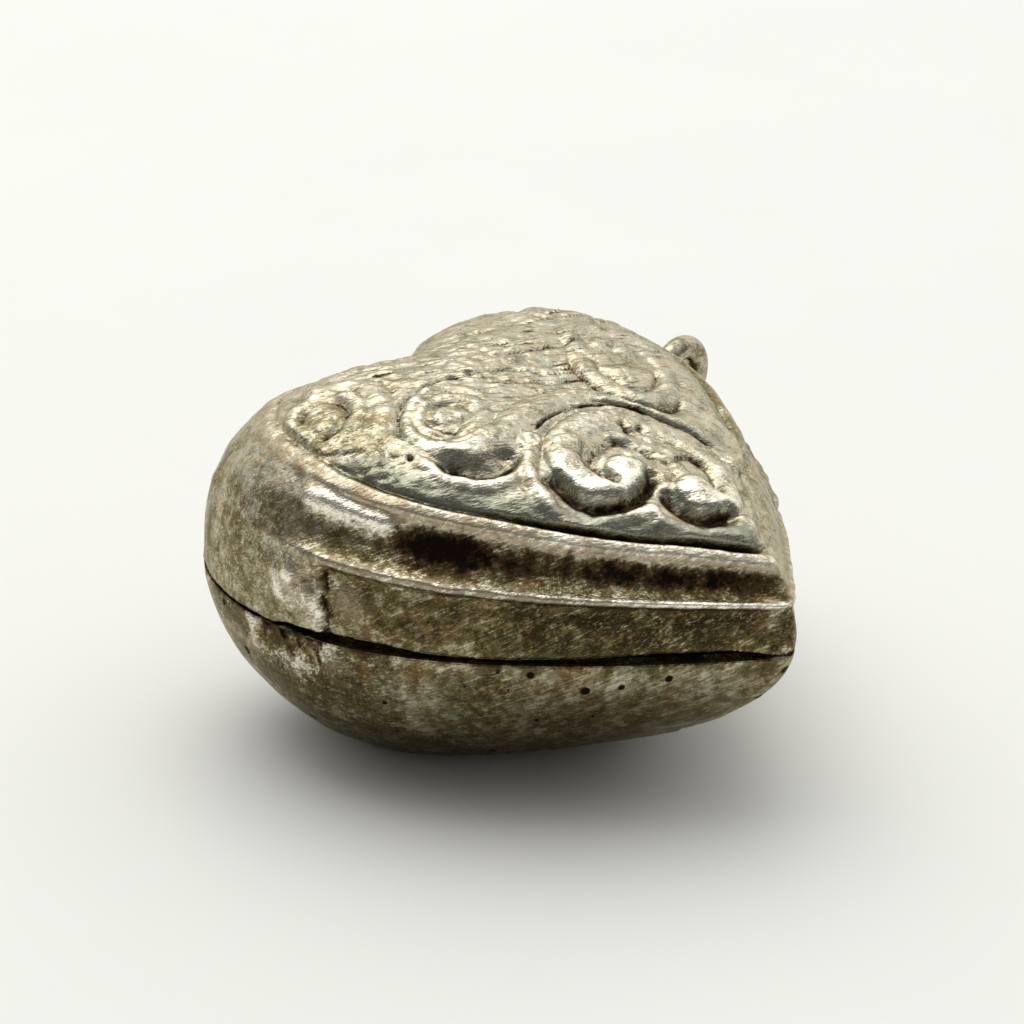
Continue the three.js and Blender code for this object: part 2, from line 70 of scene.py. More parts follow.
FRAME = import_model()
FRONT_LOW, FRONT_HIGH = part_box("front_shell")
BAIL_LOW, BAIL_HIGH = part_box("bail_loop")
PIN_LOW, PIN_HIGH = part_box("hinge_pin")
KNUCKLE_LOW, KNUCKLE_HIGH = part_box("middle_hinge_knuckle")
HINGE_AT = Vector(next(j for j in FRAME["joints"] if j["name"] == "lid_hinge")["pos_m"])
MM = 0.001


# Sizes and colours

def length(name, description, millimetres):
    return FloatProperty(
        name=name,
        description=description,
        default=millimetres * MM,
        precision=5,
        unit="LENGTH",
        subtype="DISTANCE",
    )


def share(name, description, default):
    return FloatProperty(name=name, description=description, default=default, subtype="FACTOR")


def colour(name, description, default):
    return FloatVectorProperty(
        name=name,
        description=description,
        default=default,
        size=3,
        min=0.0,
        max=1.0,
        subtype="COLOR",
    )


class HeartSizes(bpy.types.PropertyGroup):
    """Sizes of the heart's two shells."""

    half_width: length("Half width", "Middle line to a side's widest point", -FRONT_LOW.x / MM)
    widest: length("Widest", "Tip to the widest point", (HINGE_AT.y - FRONT_LOW.y) / MM)
    lobe_height: length("Lobe height", "Widest point to the top of a lobe", (FRONT_HIGH.y - HINGE_AT.y) / MM)
    lobe_out: length("Lobe out", "Middle line to the top of a lobe", 5.2)
    cleft_depth: length("Cleft depth", "Tops of the lobes down to the cleft", 2.6)
    cleft_spread: length("Cleft spread", "How far out the cleft's sides turn upright", 1.3)
    tip_reach: length("Tip reach", "How far up the flanks keep the slope of the tip", 4.25)
    side_reach: length("Side reach", "How far below the widest point the sides stay upright", 4.7)
    crown: length("Crown", "Tip to the point that the rings shrink to", 10.3)
    front_rise: length("Front rise", "Rise of the front's dome above the seam", 6.2)
    back_rise: length("Back rise", "Depth that the back's dome would have without its land", 6.6)
    back_depth: length("Back depth", "Seam down to the land that the back rests on", HINGE_AT.z / MM)
    wall: length("Wall", "Thickness of a shell's wall", 0.75)
    seam_gap: length("Seam gap", "Gap between the rims of the closed shells", 0.2)
    tip_share: share("Tip share", "Share of a dome's rise that is left at the tip", 0.55)


class CarvingSizes(bpy.types.PropertyGroup):
    """Sizes of the carving on the front and the marks on the back."""

    outer_border_up: length("Outer border up", "Seam to the outer border over the surface", 2.7)
    inner_border_up: length("Inner border up", "Seam to the inner border over the surface", 5.3)
    outer_border_height: length("Outer border height", "Height of the thin outer border", 0.15)
    inner_border_height: length("Inner border height", "Height of the broad inner border", 0.12)
    channel_depth: length("Channel depth", "Hollow between the two borders", 0.36)
    groove_depth: length("Groove depth", "Groove beside the inner border", 0.3)
    panel_recess: length("Panel recess", "Depth of the flat panel above the seam", 0.18)
    scroll_height: length("Scroll height", "Height of the boldest scrolls over the dome", 0.3)
    scoop_depth: length("Scoop depth", "Depth of the thumbnail scoop", 0.32)


class SilverColours(bpy.types.PropertyGroup):
    """Colours of the worn and tarnished silver."""

    # The bright silver is worn metal on the crests and also a painted highlight there.
    bright: colour("Bright silver", "Silver on the rubbed crests", (0.94, 0.89, 0.76))
    worn: colour("Worn silver", "Silver of the open surfaces", (0.53, 0.49, 0.38))
    ash: colour("Ash", "Greyer patches of the open surfaces", (0.3, 0.3, 0.235))
    haze: colour("Haze", "Thin film", (0.3, 0.262, 0.158))
    moss: colour("Moss", "Greener patches of the thin film", (0.162, 0.166, 0.092))
    # Slate is painted grey shade on the steep walls of the scrolls and on the bank between the inner border
    # and the scrolls.
    slate: colour("Slate", "Grey patina on the walls of the scrolls", (0.28, 0.285, 0.22))
    soot: colour("Soot", "Thickest film", (0.032, 0.025, 0.01))
    film: colour("Film", "Tarnish film of the flanks and the back", (0.112, 0.092, 0.035))
    rust: colour("Rust", "Brown film beside the grey", (0.15, 0.09, 0.036))
    stain: colour("Stain", "Brown stains", (0.16, 0.125, 0.06))
    blush: colour("Blush", "Warm tint along the borders", (0.49, 0.395, 0.27))
    # Tarnish and black also paint shade: in the channel, under the outer border, at the panel's end and in
    # the sunk ground beside the scrolls.
    tarnish: colour("Tarnish", "Brown tarnish in the hollows", (0.075, 0.045, 0.02))
    black: colour("Black", "Grime in the deepest lines", (0.012, 0.009, 0.006))
    floor: colour("Floor", "Pale floor", (0.9, 0.9, 0.88))


# The heart's form, in millimetres from the tip and the seam

def in_mm(group):
    """A property group's sizes as plain numbers, with its lengths in millimetres."""
    values = {}
    for name, prop in group.bl_rna.properties.items():
        if prop.type == "FLOAT" and not prop.is_array:
            scale = 1 / MM if prop.unit == "LENGTH" else 1.0
            values[name] = getattr(group, name) * scale
    return values


class HeartForm:
    """Outlines, rings and domes of the heart."""

    quarter_round = 0.55
    tip_slope = math.tan(math.radians(52))
    cleft_fade = 1.8
    front_powers = (3.7, 2.8)
    back_powers = (2.75, 1.68)

    def __init__(self, sizes):
        self.__dict__.update(in_mm(sizes))
        self.height = self.widest + self.lobe_height
        self.inner_scale = 1 - self.wall / self.half_width

    def half_outline(self, along, cleft):
        """Points of the right half, where along runs from 0 at the tip to 3 at the cleft."""
        q = self.quarter_round
        wide, lobe, top = self.half_width, self.lobe_out, self.height
        flank = ((0, 0), (self.tip_reach * self.tip_slope, self.tip_reach),
                 (wide, self.widest - self.side_reach), (wide, self.widest))
        shoulder = (flank[3], (wide, self.widest + q * self.lobe_height),
                    (lobe + q * (wide - lobe), top), (lobe, top))
        fall = (shoulder[3], ((1 - q) * lobe, top),
                (self.cleft_spread, top - q * cleft), (0, top - cleft))
        points = np.zeros((len(along), 2))
        part = np.minimum(along.astype(int), 2)
        for index, curve in enumerate((flank, shoulder, fall)):
            a, b, c, d = (np.array(p, float) for p in curve)
            t = (along[part == index] - index)[:, None]
            points[part == index] = (
                (1 - t) ** 3 * a + 3 * (1 - t) ** 2 * t * b + 3 * (1 - t) * t ** 2 * c + t ** 3 * d
            )
        return points

    def even_columns(self, columns):
        """Places along the half outline that split it evenly."""
        fine = np.linspace(0, 3, 1500)
        points = self.half_outline(fine, self.cleft_depth * 0.8)
        steps = np.hypot(*np.diff(points, axis=0).T)
        run = np.concatenate([[0], np.cumsum(steps)])
        return np.interp(np.linspace(0, run[-1], columns // 2 + 1), run, fine)

    def ring(self, along, scale, fade):
        """A whole outline shrunk about the crown's point, counter-clockwise from the tip."""
        right = self.half_outline(along, self.cleft_depth * scale ** fade)
        left = right[-2:0:-1] * (-1, 1)
        ring = np.vstack([right, left])
        corner = self.corner_weight(len(ring))[:, None]
        for _ in range(14):
            eased = (np.roll(ring, 1, 0) + ring + np.roll(ring, -1, 0)) / 3
            ring = ring + corner * (eased - ring)
        return np.column_stack([ring[:, 0] * scale, self.crown + scale * (ring[:, 1] - self.crown)])

    @staticmethod
    def corner_weight(columns):
        """Where the outline's corners are eased: at the tip and in the cleft."""
        column = np.arange(columns)
        from_tip = np.minimum(column, columns - column)
        from_cleft = np.abs(column - columns // 2)
        return np.exp(-(np.minimum(from_tip, from_cleft) / 5.0) ** 2)

    def rise_share(self, from_tip):
        climb = np.clip(from_tip / self.widest, 0, 1) ** 0.8
        return self.tip_share + (1 - self.tip_share) * climb

    @staticmethod
    def dome_share(scale, powers):
        return np.clip(1 - scale ** powers[0], 0, 1) ** (1 / powers[1])

    def section(self, rise, powers):
        """Length over a dome from the seam, with the ring's scale and the height there."""
        turn = np.linspace(0, math.pi / 2, 1200)
        scale = np.cos(turn) ** (2 / powers[0])
        up = rise * self.dome_share(scale, powers)
        steps = np.hypot(np.diff(scale * self.half_width), np.diff(up))
        return np.concatenate([[0], np.cumsum(steps)]), scale, up


# Meshes, unevenness and masks

def vertex_places(bm):
    return np.array([v.co for v in bm.verts])


def move_vertices(bm, place):
    for vertex, point in zip(bm.verts, place):
        vertex.co = point


def turn_column(place, columns):
    """Column, of so many round +Z, that each place lies in."""
    turn = np.arctan2(place[:, 1], place[:, 0]) / (2 * math.pi)
    return np.round(turn * columns).astype(int) % columns


def ball(columns, rows):
    """A closed ball, with the column and row of each of its vertices."""
    bm = bmesh.new()
    bmesh.ops.create_grid(bm, x_segments=columns, y_segments=rows, size=0.5)
    flat = vertex_places(bm) + 0.5
    column = np.round(flat[:, 0] * columns).astype(int)
    row = np.round(flat[:, 1] * rows).astype(int)
    turn, lean = 2 * math.pi * column / columns, math.pi * row / rows
    across = np.sin(lean) * (row < rows)
    move_vertices(bm, np.column_stack([across * np.cos(turn), across * np.sin(turn), np.cos(lean)]))
    edge = [v for v in bm.verts if v.is_boundary]
    bmesh.ops.remove_doubles(bm, verts=edge, dist=1e-6)
    place = vertex_places(bm)
    row = np.round(np.arccos(np.clip(place[:, 2], -1, 1)) / math.pi * rows).astype(int)
    return bm, turn_column(place, columns), row


def hoop(columns, section):
    """A closed hoop about +Z, with the column and section index of each of its vertices."""
    bm = bmesh.new()
    turned = Matrix.Translation((1, 0, 0)) @ Matrix.Rotation(math.pi / 2, 4, "X")
    bmesh.ops.create_circle(bm, segments=section, radius=0.3, matrix=turned)
    bmesh.ops.spin(
        bm, geom=bm.verts[:] + bm.edges[:], axis=(0, 0, 1), cent=(0, 0, 0),
        angle=2 * math.pi, steps=columns, use_merge=True,
    )
    bmesh.ops.remove_doubles(bm, verts=bm.verts, dist=1e-5)
    bmesh.ops.recalc_face_normals(bm, faces=bm.faces)
    place = vertex_places(bm)
    from_wire = np.column_stack([np.hypot(place[:, 0], place[:, 1]) - 1, place[:, 2]])
    return bm, turn_column(place, columns), turn_column(from_wire, section)


def finished(bm, name, place, layers, material, body, nodes, slot):
    """Moves a mesh's vertices to their places, in metres, and makes it a piece of the charm."""
    move_vertices(bm, place)
    bmesh.ops.recalc_face_normals(bm, faces=bm.faces)
    mesh = bpy.data.meshes.new(name)
    bm.to_mesh(mesh)
    bm.free()
    for layer, values in layers.items():
        attribute = mesh.attributes.new(layer, "FLOAT", "POINT")
        attribute.data.foreach_set("value", np.asarray(values, np.float32))
    mesh.shade_smooth()
    mesh.materials.append(material)
    piece = bpy.data.objects.new(name, mesh)
    bpy.context.scene.collection.objects.link(piece)
    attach(piece, body)
    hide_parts(*nodes)


def to_frame(points):
    """Points in millimetres from the tip and the seam, as metres in the frame."""
    place = points * MM
    place[..., 1] += FRONT_LOW.y
    place[..., 2] += HINGE_AT.z
    return place


def eased(values, times):
    """Values on rows and columns, blurred among their neighbours."""
    for _ in range(times):
        across = (np.roll(values, 1, 1) + 2 * values + np.roll(values, -1, 1)) / 4
        padded = np.vstack([across[:1], across, across[-1:]])
        values = (padded[:-2] + 2 * padded[1:-1] + padded[2:]) / 4
    return values


def surface_normals(points):
    """Outward normals of points on rows and columns, where the columns close on themselves."""
    down = np.gradient(points, axis=0)
    across = np.roll(points, -1, 1) - np.roll(points, 1, 1)
    normal = np.cross(down, across)
    size = np.linalg.norm(normal, axis=2, keepdims=True)
    return normal / np.maximum(size, 1e-12)


def unevenness(points, size, seed):
    """Slow hand-made unevenness, from -1 to 1, at points in millimetres."""
    flat = points.reshape(-1, 3) / size + seed
    values = [noise.noise(Vector(p)) for p in flat]
    return np.array(values).reshape(points.shape[:-1])


def drawn_out(first, second, seed):
    """Unevenness over two measures, each already divided by the length of its marks."""
    return unevenness(np.stack([first, second, np.zeros(first.shape)], -1), 1.0, seed)


def ramp(value, start, end):
    """A smooth step from 0 at start to 1 at end."""
    t = np.clip((value - start) / (end - start), 0, 1)
    return t * t * (3 - 2 * t)


def fade(value, start, end):
    """A smooth step from 1 at start to 0 at end."""
    return 1 - ramp(value, start, end)


def bell(value, middle, half, power=2):
    """A bump of 1 at a middle, with a half width; a greater power gives it a flatter back."""
    return np.exp(-((value - middle) / half) ** power)


def most(*layers):
    """The greatest of several layers at each point."""
    return reduce(np.maximum, layers)


# Carving of the front, drawn in plan: across from the middle line and up from the tip

def through(points, steps=9):
    """A smooth path through points, whose further numbers change evenly with it."""
    p = np.array(points, float)
    p = np.vstack([2 * p[0] - p[1], p, 2 * p[-1] - p[-2]])
    path = []
    for a, b, c, d in zip(p[:-3], p[1:-2], p[2:-1], p[3:]):
        for t in np.linspace(0, 1, steps, endpoint=False):
            path.append(0.5 * (
                2 * b + (c - a) * t + (2 * a - 5 * b + 4 * c - d) * t ** 2
                + (3 * b - a - 3 * c + d) * t ** 3
            ))
    path.append(p[-2])
    return np.array(path)


def curl(centre, turns):
    """Points of a curl round a centre, from its (degrees, radius, half width, crest) stations."""
    points = []
    for degrees, radius, half, crest in turns:
        angle = math.radians(degrees)
        points.append((
            centre[0] + radius * math.cos(angle), centre[1] + radius * math.sin(angle), half, crest,
        ))
    return points


def mirrored(points):
    return [(-x, *rest) for x, *rest in points]


def along_path(plan, path, margin):
    """For each point in plan: its distance from a path and the path's further numbers there."""
    near = np.full(len(plan), 1e9)
    extra = np.zeros((len(plan), path.shape[1] - 2))
    inside = np.all(plan > path[:, :2].min(0) - margin, 1) & np.all(plan < path[:, :2].max(0) + margin, 1)
    spots = plan[inside]
    best, numbers = near[inside], extra[inside]
    for start, end in zip(path[:-1], path[1:]):
        run = end[:2] - start[:2]
        t = np.clip((spots - start[:2]) @ run / max(run @ run, 1e-12), 0, 1)
        away = np.hypot(*(spots - start[:2] - t[:, None] * run).T)
        closer = away < best
        best[closer] = away[closer]
        numbers[closer] = start[2:] + t[closer, None] * (end[2:] - start[2:])
    near[inside], extra[inside] = best, numbers
    return near, extra


def raise_band(level, plan, points, flat, power):
    """Raises a band along a path of (across, up, half width, crest) points; flat widens its back."""
    away, numbers = along_path(plan, through(points), 1.2)
    half, crest = numbers[:, 0], numbers[:, 1]
    q = np.clip(away / np.maximum(half, 1e-6), 0, 1)
    band = crest * (1 - q ** flat) ** power
    return np.where(away < half, np.maximum(level, band), level)


def cut_line(level, plan, points, half, depth):
    """Cuts a line that tapers at its ends and returns the level with how far each point lies in it."""
    first, last = np.array(points[0]), np.array(points[-1])
    body = points[1:-1] or [tuple(0.5 * (first + last))]
    path = through([(*first, 0.0), *[(x, y, 1.0) for x, y in body], (*last, 0.0)])
    away, numbers = along_path(plan, path, 0.6)
    within = np.exp(-(away / half) ** 2) * np.clip(1.5 * numbers[:, 0], 0, 1)
    return level - depth * within, within


BOLD_SCROLL = [
    (-1.25, 6.2, 0.72, 1.05), (-1.45, 5.95, 0.72, 1.0), (-1.95, 5.75, 0.58, 0.95), (-2.55, 5.95, 0.6, 1.0),
    (-2.88, 6.6, 0.62, 1.0), (-2.78, 7.4, 0.62, 1.0), (-2.25, 8.05, 0.64, 0.95), (-1.35, 8.45, 0.66, 0.9),
    (-0.2, 8.5, 0.7, 0.85), (0.9, 8.0, 0.66, 0.65), (1.65, 7.15, 0.58, 0.55), (1.95, 6.2, 0.5, 0.55),
    (1.9, 5.25, 0.44, 0.65), (1.55, 4.35, 0.42, 0.75), (1.0, 3.65, 0.44, 0.85), (0.4, 3.45, 0.5, 0.95),
    (-0.05, 3.85, 0.68, 1.0), (-0.05, 4.25, 0.74, 1.05),
]
WAVE_SCROLL = [
    (-2.0, 11.3, 0.26, 0.15), (-1.95, 11.9, 0.3, 0.25), (-2.3, 12.45, 0.32, 0.3), (-2.85, 12.75, 0.32, 0.32),
    (-3.6, 12.85, 0.32, 0.35), (-4.5, 12.5, 0.33, 0.37), (-5.25, 11.95, 0.35, 0.42), (-5.55, 11.3, 0.4, 0.5),
    (-5.5, 10.65, 0.45, 0.65), (-5.0, 10.1, 0.6, 0.85), (-4.1, 9.85, 0.75, 0.9), (-3.0, 9.7, 0.78, 0.9),
    (-1.9, 9.95, 0.72, 0.85), (-0.6, 10.15, 0.7, 0.75), (0.75, 9.8, 0.58, 0.65), (1.5, 9.15, 0.42, 0.6),
    (2.0, 8.35, 0.36, 0.55), (2.5, 7.5, 0.34, 0.5), (3.0, 6.6, 0.3, 0.4),
]
ARCH_BED = [
    (-2.2, 9.25, 0.3, 0.4), (-1.6, 9.38, 0.36, 0.55), (-0.8, 9.43, 0.36, 0.55), (0.0, 9.4, 0.36, 0.5),
    (0.95, 9.1, 0.34, 0.4), (1.6, 8.6, 0.3, 0.35),
]
WAVE_COIL = [
    [
        (-4.7, 10.75, 0.3, 0.5), (-4.98, 11.5, 0.34, 0.6), (-4.5, 12.1, 0.33, 0.6), (-3.7, 12.35, 0.33, 0.6),
        (-3.0, 12.15, 0.34, 0.55), (-2.5, 11.6, 0.36, 0.5), (-2.75, 10.95, 0.36, 0.5),
        (-3.4, 10.55, 0.36, 0.55), (-4.2, 10.5, 0.34, 0.6),
    ],
    [(-4.2, 11.6, 0.5, 0.75), (-3.9, 11.5, 0.55, 0.75), (-3.5, 11.3, 0.5, 0.65)],
]
NEAR_SCROLL = [
    [
        (-7.25, 14.55, 0.34, 0.55), (-7.0, 15.4, 0.36, 0.6), (-6.3, 15.85, 0.36, 0.6),
        (-5.5, 15.75, 0.36, 0.6), (-5.02, 15.1, 0.36, 0.6), (-5.1, 14.3, 0.36, 0.55),
        (-5.7, 13.65, 0.36, 0.5), (-6.5, 13.35, 0.34, 0.45), (-7.2, 13.4, 0.3, 0.35),
    ],
    [(-6.65, 14.35, 0.5, 0.7), (-6.35, 14.65, 0.58, 0.75), (-6.0, 15.0, 0.5, 0.7)],
    [
        (-4.9, 16.3, 0.4, 0.3), (-4.35, 15.6, 0.45, 0.4), (-4.3, 14.7, 0.5, 0.4), (-4.7, 13.8, 0.45, 0.4),
        (-5.4, 13.0, 0.4, 0.35), (-6.2, 12.4, 0.35, 0.2),
    ],
]
FAR_SCROLL = [
    *curl((4.5, 11.6), [
        (450, 0.2, 0.48, 0.7), (360, 0.5, 0.4, 0.65), (270, 0.87, 0.38, 0.65), (180, 1.17, 0.38, 0.65),
        (90, 1.42, 0.4, 0.65), (0, 1.67, 0.42, 0.65), (-40, 1.97, 0.45, 0.6),
    ]),
    (5.6, 9.0, 0.5, 0.6),
    (4.9, 7.7, 0.48, 0.55),
    (4.0, 6.5, 0.36, 0.35),
]
FAR_COIL = [
    [
        (3.1, 11.7, 0.36, 0.35), (2.65, 11.0, 0.42, 0.45), (2.42, 10.4, 0.45, 0.5), (2.35, 9.55, 0.45, 0.5),
        (2.6, 8.85, 0.44, 0.55), (3.1, 8.4, 0.42, 0.6), (3.7, 8.35, 0.4, 0.6), (4.4, 8.75, 0.4, 0.6),
        (5.05, 9.35, 0.38, 0.55), (5.5, 10.0, 0.38, 0.5), (5.75, 10.8, 0.36, 0.4),
    ],
    [(3.45, 10.2, 0.5, 0.5), (3.8, 9.85, 0.55, 0.6), (4.2, 9.75, 0.45, 0.5)],
]
SCALLOPS = [
    [
        (-6.4, 11.5, 0.28, 0.15), (-6.2, 10.6, 0.3, 0.35), (-6.1, 9.6, 0.34, 0.45), (-5.5, 8.7, 0.36, 0.5),
        (-4.7, 8.25, 0.36, 0.5), (-3.9, 8.25, 0.36, 0.5), (-3.1, 8.6, 0.34, 0.5),
    ],
    [
        (-3.6, 8.3, 0.34, 0.5), (-4.1, 7.85, 0.34, 0.5), (-4.45, 6.75, 0.34, 0.5), (-4.45, 6.15, 0.34, 0.5),
        (-4.15, 5.55, 0.34, 0.5),
    ],
    [
        (-4.15, 5.55, 0.34, 0.5), (-3.5, 5.25, 0.34, 0.5), (-2.6, 4.85, 0.34, 0.5), (-1.95, 4.6, 0.34, 0.55),
    ],
    [
        (-1.95, 4.6, 0.34, 0.55), (-1.98, 4.15, 0.34, 0.5), (-1.66, 3.55, 0.34, 0.5),
        (-1.05, 2.9, 0.36, 0.5), (-0.1, 2.3, 0.4, 0.55),
    ],
]
# Sunk ground beside the scrolls, as a path with a half width, a depth and how dark it is; the darkness is
# tarnish with painted shade
SUNK_GROUND = [
    ([(-3.45, 7.5), (-3.6, 7.0), (-3.62, 6.4), (-3.3, 5.8), (-2.75, 5.4), (-2.0, 5.18), (-1.15, 5.3),
      (-0.5, 5.75)], 0.22, 0.34, 1.0),
    ([(-0.85, 4.95), (-1.1, 4.5), (-1.08, 3.95), (-0.7, 3.4), (-0.05, 3.08), (0.5, 3.2)], 0.24, 0.32, 0.95),
    ([(-5.75, 10.3), (-5.55, 9.75), (-5.2, 9.2), (-4.7, 8.88), (-4.1, 8.8), (-3.5, 8.95)], 0.36, 0.32, 0.5),
]
# Cut lines, in the same way
CUT_LINES = [
    ([(-2.4, 9.2), (-1.6, 9.38), (-0.8, 9.43), (0.0, 9.4), (0.95, 9.1)], 0.065, 0.15, 1.1),
    ([(-0.6, 9.42), (0.0, 9.4), (0.95, 9.1), (1.6, 8.6), (2.0, 7.9), (2.3, 7.2), (2.8, 6.2), (3.3, 5.6)],
     0.1, 0.16, 1.15),
    ([(-2.0, 5.75), (-2.12, 6.2), (-2.1, 6.7), (-1.85, 7.15), (-1.3, 7.35), (-0.8, 7.42), (-0.3, 7.3),
      (0.02, 6.85), (0.1, 6.35), (0.02, 5.95)], 0.24, 0.2, 0.65),
    ([(-0.6, 7.45), (-0.25, 7.3), (-0.1, 6.8), (0.0, 6.2)], 0.08, 0.1, 0.9),
    ([(0.0, 5.75), (0.6, 5.7), (1.15, 5.6), (1.35, 5.2), (1.2, 4.7), (0.9, 4.2), (0.65, 3.85)],
     0.17, 0.16, 0.65),
    ([(1.15, 5.5), (1.35, 5.0)], 0.15, 0.12, 0.9),
    ([(-5.8, 10.1), (-5.58, 9.45), (-5.34, 9.06), (-4.97, 8.75), (-4.5, 8.55), (-3.9, 8.6)],
     0.19, 0.15, 1.35),
    ([(-5.85, 11.4), (-5.75, 11.9), (-5.13, 12.47), (-4.36, 12.97), (-3.79, 13.12), (-2.84, 13.2),
      (-1.93, 13.05), (-1.53, 12.5)], 0.075, 0.13, 0.85),
    ([(-4.7, 11.75), (-4.76, 11.2), (-4.5, 10.78), (-4.1, 10.75)], 0.13, 0.14, 0.95),
    ([(-4.1, 12.25), (-3.6, 12.0), (-3.2, 11.72)], 0.08, 0.08, 0.55),
    ([(-5.3, 10.95), (-4.9, 10.35), (-4.4, 10.12), (-3.8, 10.1)], 0.06, 0.05, 0.6),
    ([(-7.35, 14.0), (-6.95, 13.72), (-6.4, 13.75)], 0.1, 0.12, 0.95),
    ([(-5.55, 15.3), (-5.5, 14.6), (-5.85, 14.0), (-6.3, 13.8)], 0.1, 0.12, 0.85),
    ([(-6.85, 15.0), (-6.45, 15.45), (-5.8, 15.5)], 0.1, 0.1, 0.8),
    ([(-4.5, 13.2), (-4.0, 13.75), (-3.6, 14.5), (-3.5, 15.3)], 0.1, 0.08, 0.65),
    ([(-7.55, 13.55), (-7.1, 13.1), (-6.5, 13.0)], 0.06, 0.05, 0.5),
    ([(0.42, 7.35), (0.5, 7.7), (0.65, 8.05)], 0.13, 0.14, 0.8),
    ([(0.75, 7.3), (1.05, 7.5)], 0.12, 0.12, 0.7),
    ([(2.76, 11.88), (2.19, 11.11), (1.96, 10.46), (1.84, 9.53), (2.11, 8.65), (2.66, 7.96), (3.4, 7.75),
      (4.42, 8.27)], 0.12, 0.15, 0.8),
    ([(3.0, 10.9), (2.85, 10.2), (2.88, 9.6), (3.2, 9.15), (3.75, 9.05), (4.4, 9.3), (4.85, 9.8)],
     0.12, 0.13, 0.7),
    ([(0.1, 13.6), (0.85, 13.25), (1.6, 12.9), (2.5, 12.65), (3.3, 12.4), (4.45, 12.45)], 0.08, 0.1, 0.85),
    ([(-0.9, 12.85), (-0.1, 12.45), (0.55, 12.0), (1.15, 11.45)], 0.07, 0.08, 0.75),
    ([(-1.2, 12.15), (-0.6, 11.8), (0.35, 11.3), (1.1, 10.6)], 0.07, 0.08, 0.7),
    ([(-0.9, 11.0), (0.1, 10.55), (0.9, 10.05)], 0.07, 0.08, 0.7),
    ([(-6.4, 11.05), (-6.2, 10.85)], 0.13, 0.2, 1.3),
    ([(-1.5, 13.4), (-1.05, 13.0), (-1.45, 12.65)], 0.08, 0.08, 0.6),
    ([(2.6, 6.6), (2.75, 5.6), (2.5, 4.6), (2.0, 3.8)], 0.08, 0.1, 0.5),
    ([(3.0, 5.7), (2.95, 4.9), (2.6, 4.1)], 0.07, 0.08, 0.4),
]

# Low swells between the scrolls, as a place, a reach and a crest
SWELLS = [((-0.7, 7.2), 1.2, 0.25), ((0.9, 5.1), 1.0, 0.3), ((-2.85, 8.95), 0.5, 0.6)]
# Middles of the two coils that the streaks leave clear
CLEAR_COILS = [(-3.6, 11.6), (3.8, 9.9)]
RUSTY_SPOT = (-3.85, 7.5)


def carve_field(plan, sizes):
    """Level of the scroll field in millimetres over the dome at points in plan, with its dirt, painted shade
    and tint.
    """
    high = sizes["scroll_height"]
    x, from_tip = plan.T
    level = 0.02 * ramp(from_tip + 0.2 * x, 9.4, 11.0) - 0.05

    def from_spot(spot):
        return np.hypot(*(plan - spot).T)

    def raised(points, flat, power, part=1.0):
        scaled = [(across, up, half, part * high * crest) for across, up, half, crest in points]
        return raise_band(level, plan, scaled, flat, power)

    for points in SCALLOPS:
        level = raised(points, flat=1.4, power=1.0)
        level = raised(mirrored(points), flat=1.4, power=1.0)
    for points in (*NEAR_SCROLL, *map(mirrored, NEAR_SCROLL), FAR_SCROLL, *FAR_COIL, *WAVE_COIL):
        level = raised(points, flat=1.8, power=0.9, part=0.8)
    level = raised(WAVE_SCROLL, flat=1.7, power=1.1)
    level = raised(BOLD_SCROLL, flat=2.2, power=0.7)
    level = raised(ARCH_BED, flat=2.0, power=1.0)
    for spot, reach, crest in SWELLS:
        level = most(level, high * crest * ramp(from_spot(spot), reach, 0.7 * reach))
    streak = drawn_out(plan @ (0.87, -0.48) / 1.5, plan @ (0.48, 0.87) / 0.17, 5.0)
    worked = ramp(from_tip + 0.45 * x, 9.6, 11.0) * fade(-x, 3.5, 6.0)
    for spot in CLEAR_COILS:
        worked = worked * ramp(from_spot(spot), 1.2, 1.9)
    level += (0.012 + 0.03 * worked) * streak - 0.03 * worked * ramp(-streak, 0.25, 0.5)
    beside = ramp(-x, 5.9, 6.5) * ramp(from_tip, 10.6, 11.2) * fade(from_tip, 13.2, 13.8)
    punched = drawn_out(plan @ (0.8, -0.6) / 0.45, plan @ (0.6, 0.8) / 0.2, 57.0)
    level -= 0.08 * beside * ramp(punched, 0.0, 0.35)
    grime_and_shade = most(
        0.9 * worked * ramp(-streak, 0.28, 0.55),
        0.5 * beside * ramp(punched, 0.1, 0.4),
        0.6 * bell(from_spot(RUSTY_SPOT), 0.0, 0.3),
    )
    # The sunk ground's darkness is tarnish with painted shade.
    for lines, power in ((SUNK_GROUND, 1.6), (CUT_LINES, 1.0)):
        for points, half, depth, dark in lines:
            level, within = cut_line(level, plan, points, half, depth)
            grime_and_shade = most(grime_and_shade, dark * within ** power)
    tint = np.zeros(len(plan))
    for points in SCALLOPS:
        _, within = cut_line(level, plan, [point[:2] for point in points], 0.45, 0.0)
        tint = most(tint, within)
    return level, grime_and_shade, tint


# Rows that both shells share

HINGE_CLEARANCE = 0.15
SEAT_CLEARANCE = 0.05
EDGE_DROP = 0.04
EDGE_LENGTH = 0.1
INNER_FILM = 1.1
INNER_GRIME = 0.5


def level_ring(ring, height):
    """A ring's points in plan, all at one height."""
    return np.column_stack([ring, np.full(len(ring), height)])


def dome_rows(form, along, section, lengths):
    """Rings at lengths over a dome from the seam, with how far each point stands off the seam."""
    run, scales, ups = section
    rings = [form.ring(along, np.interp(at, run, scales), form.cleft_fade) for at in lengths]
    stand = [
        form.seam_gap / 2 + np.interp(at, run, ups) * form.rise_share(ring[:, 1])
        for at, ring in zip(lengths, rings)
    ]
    return np.array(rings), np.array(stand)[..., None]


def with_poles(rows, first, last):
    """Rows of a ball with its two poles added as rows of one value."""
    top = np.broadcast_to(np.asarray(first, float), rows[:1].shape)
    bottom = np.broadcast_to(np.asarray(last, float), rows[:1].shape)
    return np.concatenate([top, rows, bottom])


